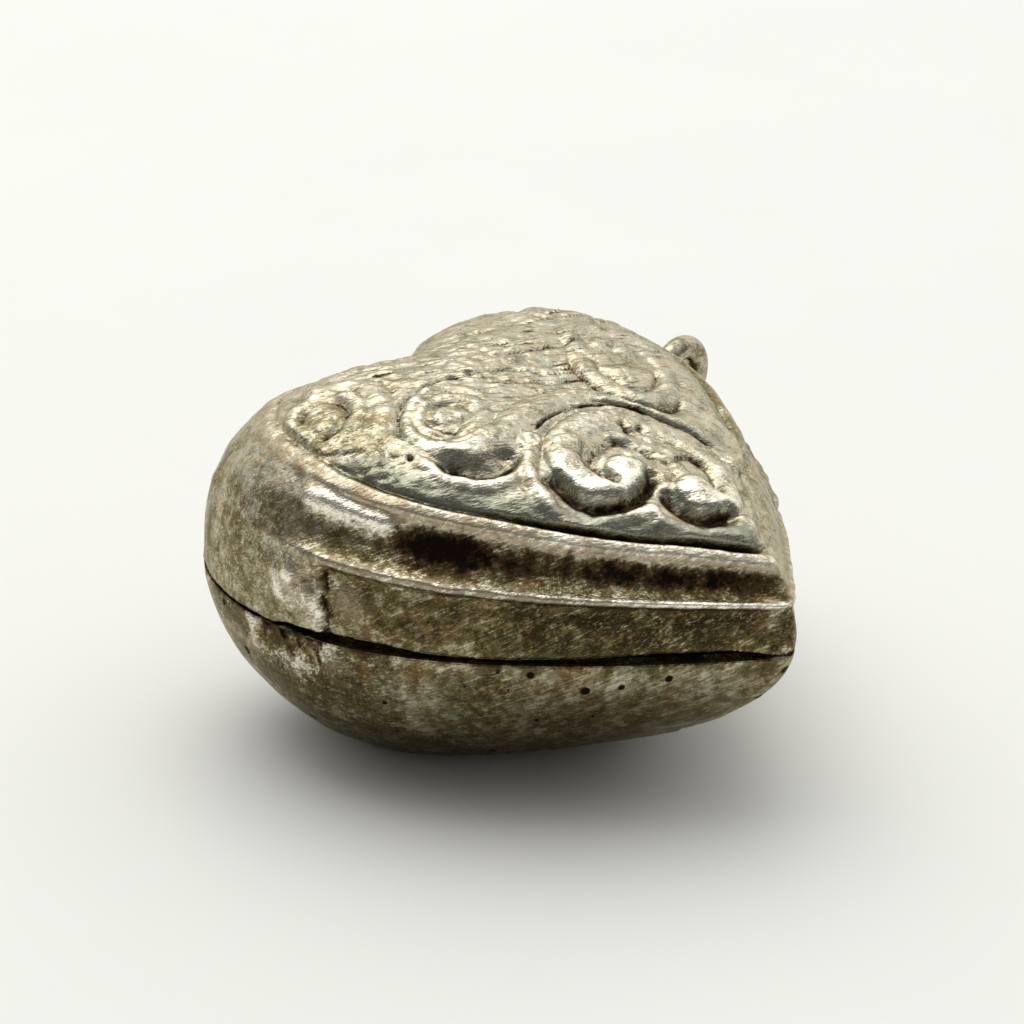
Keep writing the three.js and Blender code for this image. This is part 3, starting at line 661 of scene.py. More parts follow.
def shell_piece(rings, poles, layers, outer_first, name, *naming):
    """Closes a shell's rows to a ball; a layer has its outer rows, its value inside and its outer pole's."""
    bm, column, row = ball(rings.shape[1], len(rings) + 1)
    values = {}
    for layer, (outer, inside, pole) in layers.items():
        inner = np.full((len(rings) - len(outer), rings.shape[1]), inside)
        if outer_first:
            rows = with_poles(np.vstack([outer, inner]), pole, inside)
        else:
            rows = with_poles(np.vstack([inner, outer]), inside, pole)
        values[layer] = rows[row, column]
    finished(bm, name, to_frame(with_poles(rings, *poles))[row, column], values, *naming)


def seat_hinge(form, rings):
    """Flat that a shell is filed to beside the hinge."""
    half = (PIN_HIGH.y - PIN_LOW.y) / MM / 2 - HINGE_CLEARANCE
    reach = (KNUCKLE_HIGH.z - HINGE_AT.z) / MM + HINGE_CLEARANCE
    beside = (np.abs(rings[..., 1] - form.widest) < half) & (np.abs(rings[..., 2]) < reach)
    seat = KNUCKLE_LOW.x / MM - SEAT_CLEARANCE
    rings[..., 0] = np.where(beside, np.minimum(rings[..., 0], seat), rings[..., 0])


def rounded_edge(at):
    """How far the rim's edge is rounded off at lengths from the seam."""
    return EDGE_DROP * np.clip(1 - at / EDGE_LENGTH, 0, 1) ** 2


# Front shell

FRONT_COLUMNS = 584
FRONT_ROWS = 164


def spread(start, end, count):
    return np.linspace(start, end, count, endpoint=False)


def front_lengths(whole, sizes):
    """Lengths over the dome from the seam at which the outer rows lie, from the crown down."""
    inner, outer = sizes["inner_border_up"], sizes["outer_border_up"]
    return np.concatenate([
        spread(whole, inner + 0.6, 89)[1:],
        spread(inner + 0.6, inner - 0.4, 18),
        spread(inner - 0.4, outer + 0.25, 18),
        spread(outer + 0.25, outer - 0.25, 10),
        spread(outer - 0.25, 0.22, 10),
        np.linspace(0.22, 0, 5),
    ])


def front_shell_piece(heart, carving, material):
    form = HeartForm(heart)
    sizes = in_mm(carving)
    along = form.even_columns(FRONT_COLUMNS)
    section = form.section(form.front_rise, form.front_powers)
    lengths = front_lengths(section[0][-1], sizes)
    outer = np.concatenate(dome_rows(form, along, section, lengths), -1)
    lift, film, crest, grime_and_shade, blush, slope_shade = front_relief(sizes, outer, lengths)
    carved = outer + lift[..., None] * surface_normals(outer)
    rings = np.vstack([carved, front_inside(form, along, FRONT_ROWS - 1 - len(outer))])
    seat_hinge(form, rings)
    open_seam(form, rings)
    top = form.seam_gap / 2 + form.front_rise * form.rise_share(form.crown) + lift[0].mean()
    under = form.seam_gap / 2 + (form.front_rise - form.wall) * form.rise_share(form.crown)
    layers = {
        "film": (film, INNER_FILM, 0.0),
        "crest": (crest, 0.0, crest[0].mean()),
        "grime_and_shade": (grime_and_shade, INNER_GRIME, grime_and_shade[0].mean()),
        "blush": (blush, 0.0, 0.0),
        "slope_shade": (slope_shade, 0.0, 0.0),
    }
    shell_piece(
        rings, ((0, form.crown, top), (0, form.crown, under)), layers, True,
        "carved_front_shell", material, "lid", ["front_shell"], "front_silver",
    )


def front_inside(form, along, count):
    """Rings of the front's rim and its hollow, from the rim's outer edge to the inner crown."""
    rim = np.linspace(0, 1, 4)[1:]
    outer_edge = form.ring(along, 1.0, 0.0)
    inner_edge = form.ring(along, form.inner_scale, 0.0)
    rings = [level_ring(outer_edge + t * (inner_edge - outer_edge), form.seam_gap / 2) for t in rim]
    run, scales, _ = form.section(form.front_rise - form.wall, form.front_powers)
    for at in np.linspace(0, run[-1], count - len(rim) + 2)[1:-1]:
        part = np.interp(at, run, scales)
        ring = form.ring(along, part * form.inner_scale, 0.0)
        height = (form.front_rise - form.wall) * form.dome_share(part, form.front_powers)
        rings.append(np.column_stack([ring, form.seam_gap / 2 + height * form.rise_share(ring[:, 1])]))
    return np.array(rings)


def steepness(points, lift):
    """Rise over run of a lift along a grid of points."""
    down = np.maximum(np.linalg.norm(np.diff(points, axis=0), axis=-1), 0.02)
    across = np.maximum(np.linalg.norm(np.roll(points, -1, 1) - points, axis=-1), 0.02)
    fall = np.diff(lift, axis=0) / down
    return np.hypot(np.vstack([fall, fall[-1:]]), (np.roll(lift, -1, 1) - lift) / across)


def border_line(sizes, x, from_tip):
    """Length from the seam to the inner border, which sinks towards the tip and over it."""
    sunk = 0.3 * fade(from_tip, 4.0, 8.0) + 0.25 * fade(from_tip, 1.0, 3.5)
    over = 0.5 * ramp(x, -0.2, 0.8) * fade(from_tip, 1.5, 6.0)
    return sizes["inner_border_up"] - sunk - over


def front_relief(sizes, outer, lengths):
    """Lift of the front's outer rows off the dome, with masks of film, crests with painted highlights, dirt
    with painted shade, blush, and painted grey shade on the slopes.
    """
    x, from_tip = outer[..., 0], outer[..., 1]
    at = np.repeat(lengths[:, None], outer.shape[1], 1)
    border = sizes["outer_border_up"]
    inner = border_line(sizes, x, from_tip)
    up = at - inner

    def past(start, end):
        return ramp(from_tip, start, end)

    def before(start, end):
        return fade(from_tip, start, end)

    # Scroll field
    field = ramp(up, 0.42, 0.62)
    near = fade(x, -0.5, 0.5)
    lift, grime_and_shade, tint = np.zeros((3, *at.shape))
    in_field = up > 0.3
    lift[in_field], grime_and_shade[in_field], tint[in_field] = carve_field(outer[in_field][:, :2], sizes)
    lift *= field
    grime_and_shade *= field
    tint *= field * near
    # Borders, channel, panel and the lumps at the panel's end
    on_lobe = past(11.2, 14.0)
    at_tip = before(0.0, 3.5)
    far_tip = ramp(x, -0.1, 0.7) * before(4.0, 7.5)
    far = ramp(x, 0.5, 2.0)
    kept = (1 - 0.9 * far_tip) * (1 - 0.5 * far)
    ridge = bell(up, -0.06, 0.28, 4) * (1 - 0.6 * on_lobe) * kept
    groove = bell(up, 0.42, 0.12) * (1 - 0.8 * past(5.8, 9.0)) * kept
    scored = bell(up, 0.34, 0.075) * (1 - 0.5 * on_lobe) * kept
    slope = fade(up, 0.3, 1.3) * ramp(up, 0.1, 0.42) * (1 - on_lobe) * kept
    chipped = 0.8 + 0.7 * unevenness(outer, 0.5, 91.0) * past(2.5, 5.0)
    thin = bell(at, border, 0.17 + 0.05 * past(3.0, 7.0)) * (1 - 0.5 * past(11.5, 13.0)) * before(14.0, 16.0)
    hollow = np.clip((at - border - 0.1) / (inner - border - 0.4), 0, 1)
    sunk = np.sin(math.pi * hollow) ** 0.8 * (1 - on_lobe)
    channel = sunk * (1 - 0.6 * at_tip) * kept
    ragged = from_tip + 0.3 * unevenness(outer, 0.5, 71.0) + 0.12 * np.sin(2.6 * at)
    panel = fade(at, border - 0.32, border - 0.16) * fade(ragged, 11.45, 11.8) * past(0.2, 1.8)
    bulge = near * bell(at, 1.45, 0.8) * bell(from_tip, 12.3, 1.2) * ramp(ragged, 11.35, 11.85)
    roll = near * bell(up, -0.85, 0.4) * past(9.6, 10.4) * before(12.4, 13.8)
    lift += sizes["inner_border_height"] * ridge - sizes["groove_depth"] * groove
    lift -= 0.1 * slope + 0.06 * scored
    lift += sizes["outer_border_height"] * thin * chipped - sizes["channel_depth"] * channel
    lift += 0.2 * bulge + 0.28 * roll - sizes["panel_recess"] * panel
    lift -= rounded_edge(at)
    # Hand-made unevenness
    crust = (0.6 + 0.4 * field) * (1 - 0.5 * ramp(x, 1.5, 3.5))
    lift += 0.035 * unevenness(outer, 0.9, 3.0) + 0.04 * crust * unevenness(outer, 0.42, 11.0)
    lift += 0.026 * crust * unevenness(outer, 0.22, 17.0)
    lift += 0.045 * crust * field * unevenness(outer, 0.55, 79.0)
    knots = unevenness(outer, 0.45, 73.0)
    lift += 0.3 * bulge * knots
    # Worn crests, also brightened as painted highlights; the roll's streaks and the bulge's knot tops are
    # painted highlights
    band = bell(up, -0.2, 0.42, 4) * (1 - 0.6 * on_lobe) * kept
    on_coil = field * ramp(-x, 4.8, 6.4) * past(10.8, 12.6)
    dulled = most(
        band * (0.3 + 0.4 * past(6.0, 9.0)), 0.65 * thin * past(2.5, 5.0), 0.6 * on_coil, 0.5 * bulge)
    crest = np.clip((lift - eased(lift, 60)) / 0.17, -1, 1) * (1 - 0.6 * far) * (1 - dulled)
    rubbed_and_highlit = roll * ramp(drawn_out(from_tip / 1.1, at / 0.1, 83.0), -0.55, -0.05)
    crest = most(crest, rubbed_and_highlit, 1.1 * bulge * ramp(knots, 0.08, 0.3))
    # Dirt in the lines; along the channel, under the outer border, at the panel's end and between the
    # bulge's knots the darkening is painted shade with tarnish
    # The channel's dark band is painted shade with tarnish.
    low_channel = sunk * kept * past(0.4, 1.6) * (0.3 + 0.7 * before(9.2, 10.4)) * (0.65 + 0.6 * hollow)
    low_channel = low_channel * (1 - 0.25 * bell(from_tip, 5.8, 0.9) + 0.35 * bell(from_tip, 8.5, 0.9))
    grime_and_shade = most(
        grime_and_shade, 0.95 * groove, 0.95 * scored, low_channel,
        0.8 * bell(at - border, -0.3, 0.14) * before(3.0, 8.0),
        near * bell(ragged, 11.55, 0.13) * fade(at, border - 0.4, border - 0.2),
        0.6 * bulge * ramp(-knots, 0.0, 0.4),
        # A dark blotch in the channel: painted shade with tarnish.
        1.15 * near * bell(up, -1.5, 0.5) * bell(from_tip, 8.5, 1.1),
    )
    # Warm tint, tarnish film, and painted grey shade on the scroll walls and the bank
    warm_end = bell(at, 1.3, 0.9) * bell(from_tip, 10.9, 0.6)
    blush = most(band, 0.7 * thin, 0.6 * warm_end, 0.8 * bulge, 0.75 * tint)
    film = (1.2 + 0.3 * before(3.0, 9.0)) * (1 - field) * (1 - 0.7 * far_tip)
    film = film * (1 - (0.65 - 0.35 * fade(up, -1.9, -0.9)) * past(10.3, 13.0)) + 0.3 * slope
    film = film + panel * (0.15 + 0.2 * before(4.0, 9.0)) + 0.6 * on_coil - 0.3 * panel * fade(at, 0.15, 0.7)
    # The film thins on the roll so that its painted highlight shows.
    film = film * (1 - 0.7 * band) * (1 - 0.8 * most(roll, 0.35 * bulge))
    # Steep scroll walls and the bank get painted grey shade.
    walls = ramp(eased(steepness(outer, eased(lift, 2)), 2), 0.3, 1.0) * field
    bank = ramp(up, 0.1, 0.42) * fade(up, 0.9, 1.7) * (1 - on_lobe) * kept
    slope_shade = most(0.75 * walls * (1 - 0.7 * far), 1.1 * bank)
    return lift, film, crest, grime_and_shade, blush, slope_shade


def open_seam(form, rings):
    """Bends a shell's lower edge up or down a little on the near side, where the seam gapes or shuts."""
    x, from_tip, height = rings[..., 0], rings[..., 1], rings[..., 2] - form.seam_gap / 2
    gape = 0.1 * ramp(from_tip, 0.6, 1.6) * fade(from_tip, 3.5, 6.5)
    gape += 0.07 * ramp(from_tip, 8.5, 10.5) * fade(from_tip, 12.6, 13.6)
    gape -= 0.12 * ramp(from_tip, 12.9, 13.7)
    gape -= 0.09 * ramp(from_tip, 3.0, 4.5) * fade(from_tip, 8.0, 9.5)
    gape -= 0.09 * fade(from_tip, 0.3, 1.0)
    rings[..., 2] += gape * ramp(-x, 0.0, 0.5) * fade(height, 0.0, 1.2)


# Back shell

BACK_COLUMNS = 440
BACK_ROWS = 120
RIM_SEAT = 0.9
RIM_LIP = 0.57
LAND_ROUND = 0.35


def back_shell_piece(heart, carving, material):
    form = HeartForm(heart)
    along = form.even_columns(BACK_COLUMNS)
    section = form.section(form.back_rise, form.back_powers)
    lengths = np.concatenate([np.linspace(0, 0.2, 5), np.linspace(0.2, section[0][-1], 75)[1:-1]])
    rows, drop = dome_rows(form, along, section, lengths)
    over = np.maximum(drop - form.back_depth + LAND_ROUND, 0)
    drop = np.where(over > 0, form.back_depth - LAND_ROUND * np.exp(-over / LAND_ROUND), drop)
    outer = np.concatenate([rows, -drop], -1)
    at = np.repeat(lengths[:, None], outer.shape[1], 1)
    lift, film, grime_and_shade, blush = back_marks(form, in_mm(carving), outer, at)
    crest = np.clip((lift - eased(lift, 40)) / 0.15, -1, 1)
    carved = outer + lift[..., None] * surface_normals(outer)
    rings = np.vstack([back_inside(form, along, BACK_ROWS - 1 - len(outer)), carved])
    seat_hinge(form, rings)
    rings[..., 2] = np.maximum(rings[..., 2], -form.back_depth)
    rise = form.back_rise - form.wall - RIM_SEAT
    bowl = -min(form.back_depth - form.wall, RIM_SEAT + rise * float(form.rise_share(form.crown)))
    layers = {
        "film": (film, INNER_FILM, INNER_FILM),
        "crest": (crest, 0.0, 0.0),
        "grime_and_shade": (grime_and_shade, INNER_GRIME, 0.0),
        "blush": (blush, 0.0, 0.0),
    }
    shell_piece(
        rings, ((0, form.crown, bowl), (0, form.crown, -form.back_depth)), layers, False,
        "smooth_back_shell", material, "base", ["back_shell"], "back_silver",
    )


def back_inside(form, along, count):
    """Rings from the back's inner crown up its bowl, over the ledge and the rim's flat edge."""
    rings = []
    rise = form.back_rise - form.wall - RIM_SEAT
    ledge_scale = form.inner_scale - RIM_LIP / form.half_width
    rim_count, wall_count = 4, 4
    run, scales, _ = form.section(rise, form.back_powers)
    for at in np.linspace(run[-1], 0, count - rim_count - wall_count + 1)[1:]:
        part = np.interp(at, run, scales)
        ring = form.ring(along, part * ledge_scale, 0.0)
        depth = RIM_SEAT + rise * form.dome_share(part, form.back_powers) * form.rise_share(ring[:, 1])
        rings.append(np.column_stack([ring, -np.minimum(depth, form.back_depth - form.wall)]))
    wall = form.ring(along, form.inner_scale, 0.0)
    edge = form.ring(along, 1.0, 0.0)
    for depth in np.linspace(RIM_SEAT, form.seam_gap / 2, wall_count):
        rings.append(level_ring(wall, -depth))
    for t in np.linspace(0, 1, rim_count + 1)[1:]:
        rings.append(level_ring(wall + t * (edge - wall), -form.seam_gap / 2))
    return np.array(rings)


def back_marks(form, sizes, outer, at):
    """Lift of the back's outer rows, with the film, darkening and blush masks; the darkening lies along the
    seam, in the scoop and at its corner.
    """
    x, from_tip = outer[..., 0], outer[..., 1]
    near = x < 0
    lumps = unevenness(outer, 0.3, 41.0)
    reach = from_tip - form.widest + 0.15 + 0.3 * unevenness(outer, 0.55, 47.0)
    scoop = near * (ramp(reach, -1.6, -1.0) * fade(reach, 0.5, 1.4)) * fade(at + 0.3 * lumps, 0.1, 1.3)
    bar = near * bell(reach, 1.5, 0.22) * fade(at, 1.0, 1.7)
    filed = near * bell(reach, -2.2, 0.6) * bell(at, 0.8, 0.5)
    line = bell(at, 7.2, 0.12)
    lift = -sizes["scoop_depth"] * scoop * (0.7 + 0.7 * lumps)
    lift += 0.06 * bar + 0.05 * filed * lumps
    lift += 0.05 * line
    lift -= rounded_edge(at)
    lift += 0.03 * unevenness(outer, 1.1, 23.0) + 0.01 * unevenness(outer, 0.35, 31.0)
    corner = near * bell(reach, -1.3, 0.2) * fade(at, 0.7, 1.2)
    grime_and_shade = most(1.1 * corner, 0.5 * bell(at, 0.0, 0.16), scoop * (0.9 - 1.3 * lumps))
    blush = most(0.8 * line, 0.6 * bar, 0.25 * filed)
    uneven_film = 0.4 * unevenness(outer, 1.6, 61.0) + 0.25 * ramp(from_tip, 8.0, 11.0)
    film = 1.1 + uneven_film * (1 - scoop) + 0.3 * scoop - 0.15 * filed + 0.3 * ramp(at, 3.5, 6.5)
    return lift, film, grime_and_shade, blush


# Closing rim and bail

RIM_COLUMNS = 360
RIM_THICKNESS = 0.35
RIM_CHAMFER = 0.05
BAIL_COLUMNS = 96
BAIL_SECTION = 32


def even_layers(place, film, grime_and_shade):
    """Masks of a piece that is tarnished evenly."""
    zero = np.zeros(len(place))
    return {"film": zero + film, "crest": zero, "grime_and_shade": zero + grime_and_shade, "blush": zero}


def closing_rim_piece(heart, material):
    form = HeartForm(heart)
    along = form.even_columns(RIM_COLUMNS)
    low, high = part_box("closing_rim")
    foot, stand = (low.z - HINGE_AT.z) / MM, (high.z - HINGE_AT.z) / MM
    outside = -low.x / MM / form.half_width
    inside = outside - RIM_THICKNESS / form.half_width
    step = RIM_CHAMFER / form.half_width
    section = [
        (inside, foot + RIM_CHAMFER), (inside + step, foot),
        (outside - step, foot), (outside, foot + RIM_CHAMFER),
        (outside, stand - 0.14), (outside - step, stand - 0.06), (outside - 2.4 * step, stand),
        (inside + 0.6 * step, stand), (inside, stand - 0.04),
    ]
    rings = np.array([level_ring(form.ring(along, scale, 0.0), height) for scale, height in section])
    bm, column, index = hoop(RIM_COLUMNS, len(section))
    place = to_frame(rings)[index, column]
    finished(
        bm, "filed_closing_rim", place, even_layers(place, film=0.9, grime_and_shade=0.2), material,
        "base", ["closing_rim"], "inner_silver",
    )


def bail_piece(material):
    middle = (BAIL_LOW + BAIL_HIGH) / 2
    outer = (BAIL_HIGH.z - BAIL_LOW.z) / 2 / MM
    wire = (BAIL_HIGH.y - BAIL_LOW.y) / 2 / MM
    centre_x = BAIL_HIGH.x / MM - outer
    bm, column, step = hoop(BAIL_COLUMNS, BAIL_SECTION)
    turn = 2 * math.pi * column / BAIL_COLUMNS
    round_turn = 2 * math.pi * step / BAIL_SECTION
    reach = outer - wire + wire * np.cos(round_turn)
    place = np.column_stack([
        centre_x + reach * np.cos(turn),
        middle.y / MM + wire * np.sin(round_turn),
        middle.z / MM + reach * np.sin(turn),
    ])
    place[:, 0] = np.maximum(place[:, 0], BAIL_LOW.x / MM)
    finished(
        bm, "wire_bail_loop", place * MM, even_layers(place, film=0.3, grime_and_shade=0.15), material,
        "lid", ["bail_loop"], "bail_silver",
    )


# Nodes of materials

MASKS = ("film", "crest", "grime_and_shade", "blush", "slope_shade")
NOISES = ("Mottle", "Cloud", "Scratch", "Flow", "Hue", "Blot")
SOCKET_KINDS = {"Vector": "NodeSocketVector", "Color": "NodeSocketColor"}
STROKE_LENGTH = 0.0011
STROKES = (
    ((0.621, -0.784, 0.5), 0.00007),
    ((0.621, -0.784, -0.15), 0.00005),
    ((0.87, -0.48, 0.0), 0.00008),
)
BUMP_HEIGHT = 0.00006
PIT_DEPTH = 2.0
SILVER_TINT = (0.85, 0.81, 0.7, 1.0)


class Nodes:
    """Short ways to add nodes to one tree, from sockets or from fixed values."""

    def __init__(self, tree):
        self.tree = tree

    def feed(self, inputs, values):
        for key, value in values.items():
            if isinstance(value, bpy.types.NodeSocket):
                self.tree.links.new(value, inputs[key])
            else:
                inputs[key].default_value = value

    def add(self, kind, values=None, **settings):
        node = self.tree.nodes.new(kind)
        for name, value in settings.items():
            setattr(node, name, value)
        self.feed(node.inputs, values or {})
        return node

    def place(self):
        return self.add("ShaderNodeTexCoord").outputs["Object"]

    def math(self, operation, first, second, clamp=False):
        node = self.add("ShaderNodeMath", {0: first, 1: second}, operation=operation, use_clamp=clamp)
        return node.outputs[0]

    def plus(self, first, second):
        return self.math("ADD", first, second)

    def minus(self, first, second):
        return self.math("SUBTRACT", first, second)

    def times(self, first, second):
        return self.math("MULTIPLY", first, second)

    def mix(self, mask, first, second):
        """Colours mixed by a mask; each may be a socket or a fixed colour."""
        node = self.add("ShaderNodeMix", data_type="RGBA")
        self.feed(node.inputs, {"Factor": mask})
        for index, colour in ((6, first), (7, second)):
            given = isinstance(colour, bpy.types.NodeSocket)
            self.feed(node.inputs, {index: colour if given else (*colour, 1.0)})
        return node.outputs[2]

    def noise(self, vector, scale, detail, roughness=0.6):
        values = {"Vector": vector, "Scale": scale, "Detail": detail, "Roughness": roughness}
        return self.add("ShaderNodeTexNoise", values).outputs["Fac"]

    def climb(self, value, low, high, bottom=0.0, top=1.0):
        """A smooth climb from bottom at low to top at high."""
        values = {"Value": value, "From Min": low, "From Max": high, "To Min": bottom, "To Max": top}
        return self.add("ShaderNodeMapRange", values, interpolation_type="SMOOTHSTEP").outputs["Result"]


def new_group(name, inputs, outputs):
    """The nodes of a new group and its input sockets; a socket is a number unless its name says more."""
    tree = bpy.data.node_groups.new(name, "ShaderNodeTree")
    for way, sockets in (("INPUT", inputs), ("OUTPUT", outputs)):
        for socket in sockets:
            kind = SOCKET_KINDS.get(socket, "NodeSocketFloat")
            tree.interface.new_socket(name=socket, in_out=way, socket_type=kind)
    nodes = Nodes(tree)
    return nodes, nodes.add("NodeGroupInput").outputs[:len(inputs)]


def shared_group(name, build, *given):
    return bpy.data.node_groups.get(name) or build(name, *given)


def grain_group(name):
    """Cast grain, brushing and scratches: a height, a scratch mask and noises about 0."""
    nodes, (vector, scratches) = new_group(name, ("Vector", "Scratches"), ("Height", *NOISES))
    plus, minus, times = nodes.plus, nodes.minus, nodes.times
    grain = nodes.noise(vector, 13000.0, 3.0, 0.7)
    lumps = nodes.noise(vector, 3800.0, 3.0)
    cloud = nodes.noise(vector, 900.0, 4.0)
    swells = nodes.noise(vector, 1900.0, 3.0, 0.5)
    hue = nodes.noise(vector, 1300.0, 4.0)
    blot = nodes.noise(vector, 2300.0, 5.0, 0.7)
    strokes = []
    for course, width in STROKES:
        turn = Vector((1, 0, 0)).rotation_difference(Vector(course)).to_euler()
        values = {"Vector": vector, "Rotation": turn, "Scale": (STROKE_LENGTH, width, width)}
        turned = nodes.add("ShaderNodeMapping", values, vector_type="TEXTURE")
        strokes.append(nodes.noise(turned.outputs["Vector"], 1.0, 3.0, 0.55))
    brushed = minus(strokes[0], 0.5)
    flow = minus(strokes[2], 0.5)
    scratch = times(nodes.climb(strokes[0], 0.55, 0.7), scratches)
    scored = times(nodes.climb(strokes[1], 0.62, 0.74), scratches)
    spots = minus(plus(lumps, times(grain, 0.7)), 0.85)
    ripples = plus(plus(times(flow, 0.35), times(brushed, 0.3)), swells)
    rough = plus(times(grain, 0.06), ripples)
    nodes.add("NodeGroupOutput", {
        "Height": minus(rough, times(plus(scratch, scored), 0.15)),
        "Scratch": nodes.math("MAXIMUM", scratch, scored),
        "Mottle": plus(spots, times(brushed, 1.35)),
        "Cloud": minus(cloud, 0.5),
        "Flow": flow,
        "Hue": minus(hue, 0.5),
        "Blot": minus(nodes.climb(blot, 0.28, 0.72), 0.5),
    })
    return nodes.tree


def pits_group(name):
    """Small casting pits scattered over a surface, as a mask."""
    nodes, (vector, amount) = new_group(name, ("Vector", "Amount"), ("Pits",))
    cells = nodes.add("ShaderNodeTexVoronoi", {"Vector": vector, "Scale": 1000.0}, feature="F1").outputs
    pick = nodes.add("ShaderNodeSeparateColor", {"Color": cells["Color"]}).outputs
    near = nodes.minus(nodes.times(pick["Red"], 0.17), cells["Distance"])
    nodes.add("NodeGroupOutput", {"Pits": nodes.times(nodes.climb(near, -0.02, 0.02), amount)})
    return nodes.tree


def tarnish_group(name, colours):
    """Colour and roughness of silver from a piece's masks and its grain's noises."""
    inputs = [mask.capitalize() for mask in MASKS] + [*NOISES, "Pits"]
    nodes, given = new_group(name, inputs, ("Color", "Roughness"))
    film, crest, grime_and_shade, blush, slope_shade, mottle, cloud, scratch, flow, hue, blot, pits = given
    plus, times, mix, climb = nodes.plus, nodes.times, nodes.mix, nodes.climb

    def swayed(mask, spots, patches):
        return plus(mask, plus(times(mottle, spots), times(cloud, patches)))

    def part(share, value, low, high):
        return times(climb(value, low, high), share)

    # Worn metal with its hues and streaks
    ashen = part(0.75, times(hue, -1.0), 0.0, 0.15)
    flowed = times(flow, -1.0)
    colour = mix(ashen, colours.worn, colours.ash)
    colour = mix(part(0.6, hue, 0.0, 0.18), colour, colours.blush)
    colour = mix(part(0.35, flowed, 0.03, 0.2), colour, colours.stain)
    colour = mix(part(0.85, flowed, 0.12, 0.19), colour, colours.tarnish)
    # Film, from a veil to soot
    thick = plus(swayed(film, 1.7, 2.8), times(blot, 0.8))
    veil = mix(ashen, colours.haze, colours.moss)
    coat = mix(part(0.85, hue, -0.05, 0.15), colours.film, colours.rust)
    colour = mix(climb(thick, 0.0, 0.9), colour, veil)
    colour = mix(climb(thick, 0.7, 1.4), colour, coat)
    colour = mix(climb(thick, 1.3, 1.95), colour, colours.soot)
    colour = mix(climb(swayed(0.0, 0.9, 1.2), 0.12, 0.5), colour, colours.stain)
    # Worn crests with painted highlights, warm tint and painted grey shade on the slopes
    polish_and_highlight = climb(swayed(crest, -0.8, -0.5), 0.1, 0.9)
    warm = part(0.8, swayed(blush, 1.4, 1.2), 0.2, 1.0)
    rosy = nodes.math("SUBTRACT", warm, times(polish_and_highlight, 0.6), clamp=True)
    colour = mix(polish_and_highlight, colour, colours.bright)
    colour = mix(rosy, colour, colours.blush)
    colour = mix(part(0.85, swayed(slope_shade, 0.8, 0.8), 0.2, 0.9), colour, colours.slate)
    # Tarnish in the hollows, dirt with painted shade, scratches and pits
    sunk = swayed(times(crest, -1.0), 0.9, 0.8)
    soiled = plus(swayed(grime_and_shade, 0.5, 0.9), times(blot, 0.45))
    clean = nodes.minus(0.5, times(grime_and_shade, 0.5))
    colour = mix(climb(sunk, 0.15, 0.85), colour, colours.tarnish)
    colour = mix(climb(soiled, 0.32, 0.85), colour, colours.tarnish)
    colour = mix(climb(soiled, 0.75, 1.1), colour, colours.black)
    colour = mix(times(scratch, clean), colour, colours.worn)
    colour = mix(pits, colour, colours.black)
    # Roughness
    dirt = nodes.math("MAXIMUM", climb(soiled, 0.3, 0.9), pits)
    base = plus(plus(times(climb(thick, 0.0, 1.6), 0.1), 0.19), times(mottle, 0.2))
    dusty = plus(times(dirt, 0.3), times(warm, 0.2))
    rough = nodes.math("ADD", base, dusty, clamp=True)
    nodes.add("NodeGroupOutput", {"Color": colour, "Roughness": rough})
    return nodes.tree


# Materials

def new_material(name):
    """A new material with its nodes and its shader's inputs."""
    material = bpy.data.materials.new(name)
    material.use_nodes = True
    tree = material.node_tree
    return material, Nodes(tree), tree.nodes["Principled BSDF"].inputs


def silver(name, colours, scratches, pits, bump):
    """Aged silver that reads the piece's masks of film, crests with painted highlights, dirt with painted
    shade, blush, and painted shade on the slopes.
    """
    material, nodes, shader = new_material(name)

    def grouped(values, *group):
        return nodes.add("ShaderNodeGroup", values, node_tree=shared_group(*group)).outputs

    place = nodes.place()
    grain = grouped({"Vector": place, "Scratches": scratches}, "Silver grain", grain_group)
    holes = grouped({"Vector": place, "Amount": pits}, "Casting pits", pits_group)
    layers = {noise: grain[noise] for noise in NOISES}
    layers["Pits"] = holes["Pits"]
    for mask in MASKS:
        layers[mask.capitalize()] = nodes.add("ShaderNodeAttribute", attribute_name=mask).outputs["Fac"]
    finish = grouped(layers, "Silver tarnish", tarnish_group, colours)
    height = nodes.minus(grain["Height"], nodes.times(holes["Pits"], PIT_DEPTH))
    relief = nodes.add("ShaderNodeBump", {"Height": height, "Strength": bump, "Distance": BUMP_HEIGHT})
    nodes.feed(shader, {
        "Metallic": 1.0,
        "Specular Tint": SILVER_TINT,
        "Base Color": finish["Color"],
        "Roughness": finish["Roughness"],
        "Normal": relief.outputs["Normal"],
    })
    return material


def floor_material(colours):
    """Pale ground, very slightly clouded."""
    material, nodes, shader = new_material("pale_floor")
    cloud = nodes.climb(nodes.noise(nodes.place(), 60.0, 3.0), 0.2, 0.8)
    shade = [0.985 * part for part in colours.floor]
    nodes.feed(shader, {
        "Roughness": 0.9,
        "Specular IOR Level": 0.1,
        "Base Color": nodes.mix(cloud, shade, colours.floor),
    })
    return material


# Stage

FLOOR_REACH = 2.0
VIEW_TURN = math.radians(38.4)
VIEW_LEAN = math.radians(24.658)
VIEW_ROLL = math.radians(-2.566)
VIEW_DISTANCE = 0.12
VIEW_RIGHT = -0.001123
VIEW_UP = 0.001463
AIM_FROM_TIP = 0.010319
SENSOR_WIDTH = 36.0
LENS = 126.56
CLIP_NEAR = 0.005
CLIP_FAR = 20.0
LAMP_SIZE = 0.38
LAMP_ENERGY = 0.64
LAMP_COLOUR = (1.0, 0.99, 0.95)
LAMP_HEIGHT = 0.37
LAMP_BACK = 0.13
LAMP_LEFT = 0.09
ROOM_COLOUR = (1.0, 1.0, 0.97, 1.0)
ROOM_DIM = 0.2
ROOM_BRIGHT = 1.15


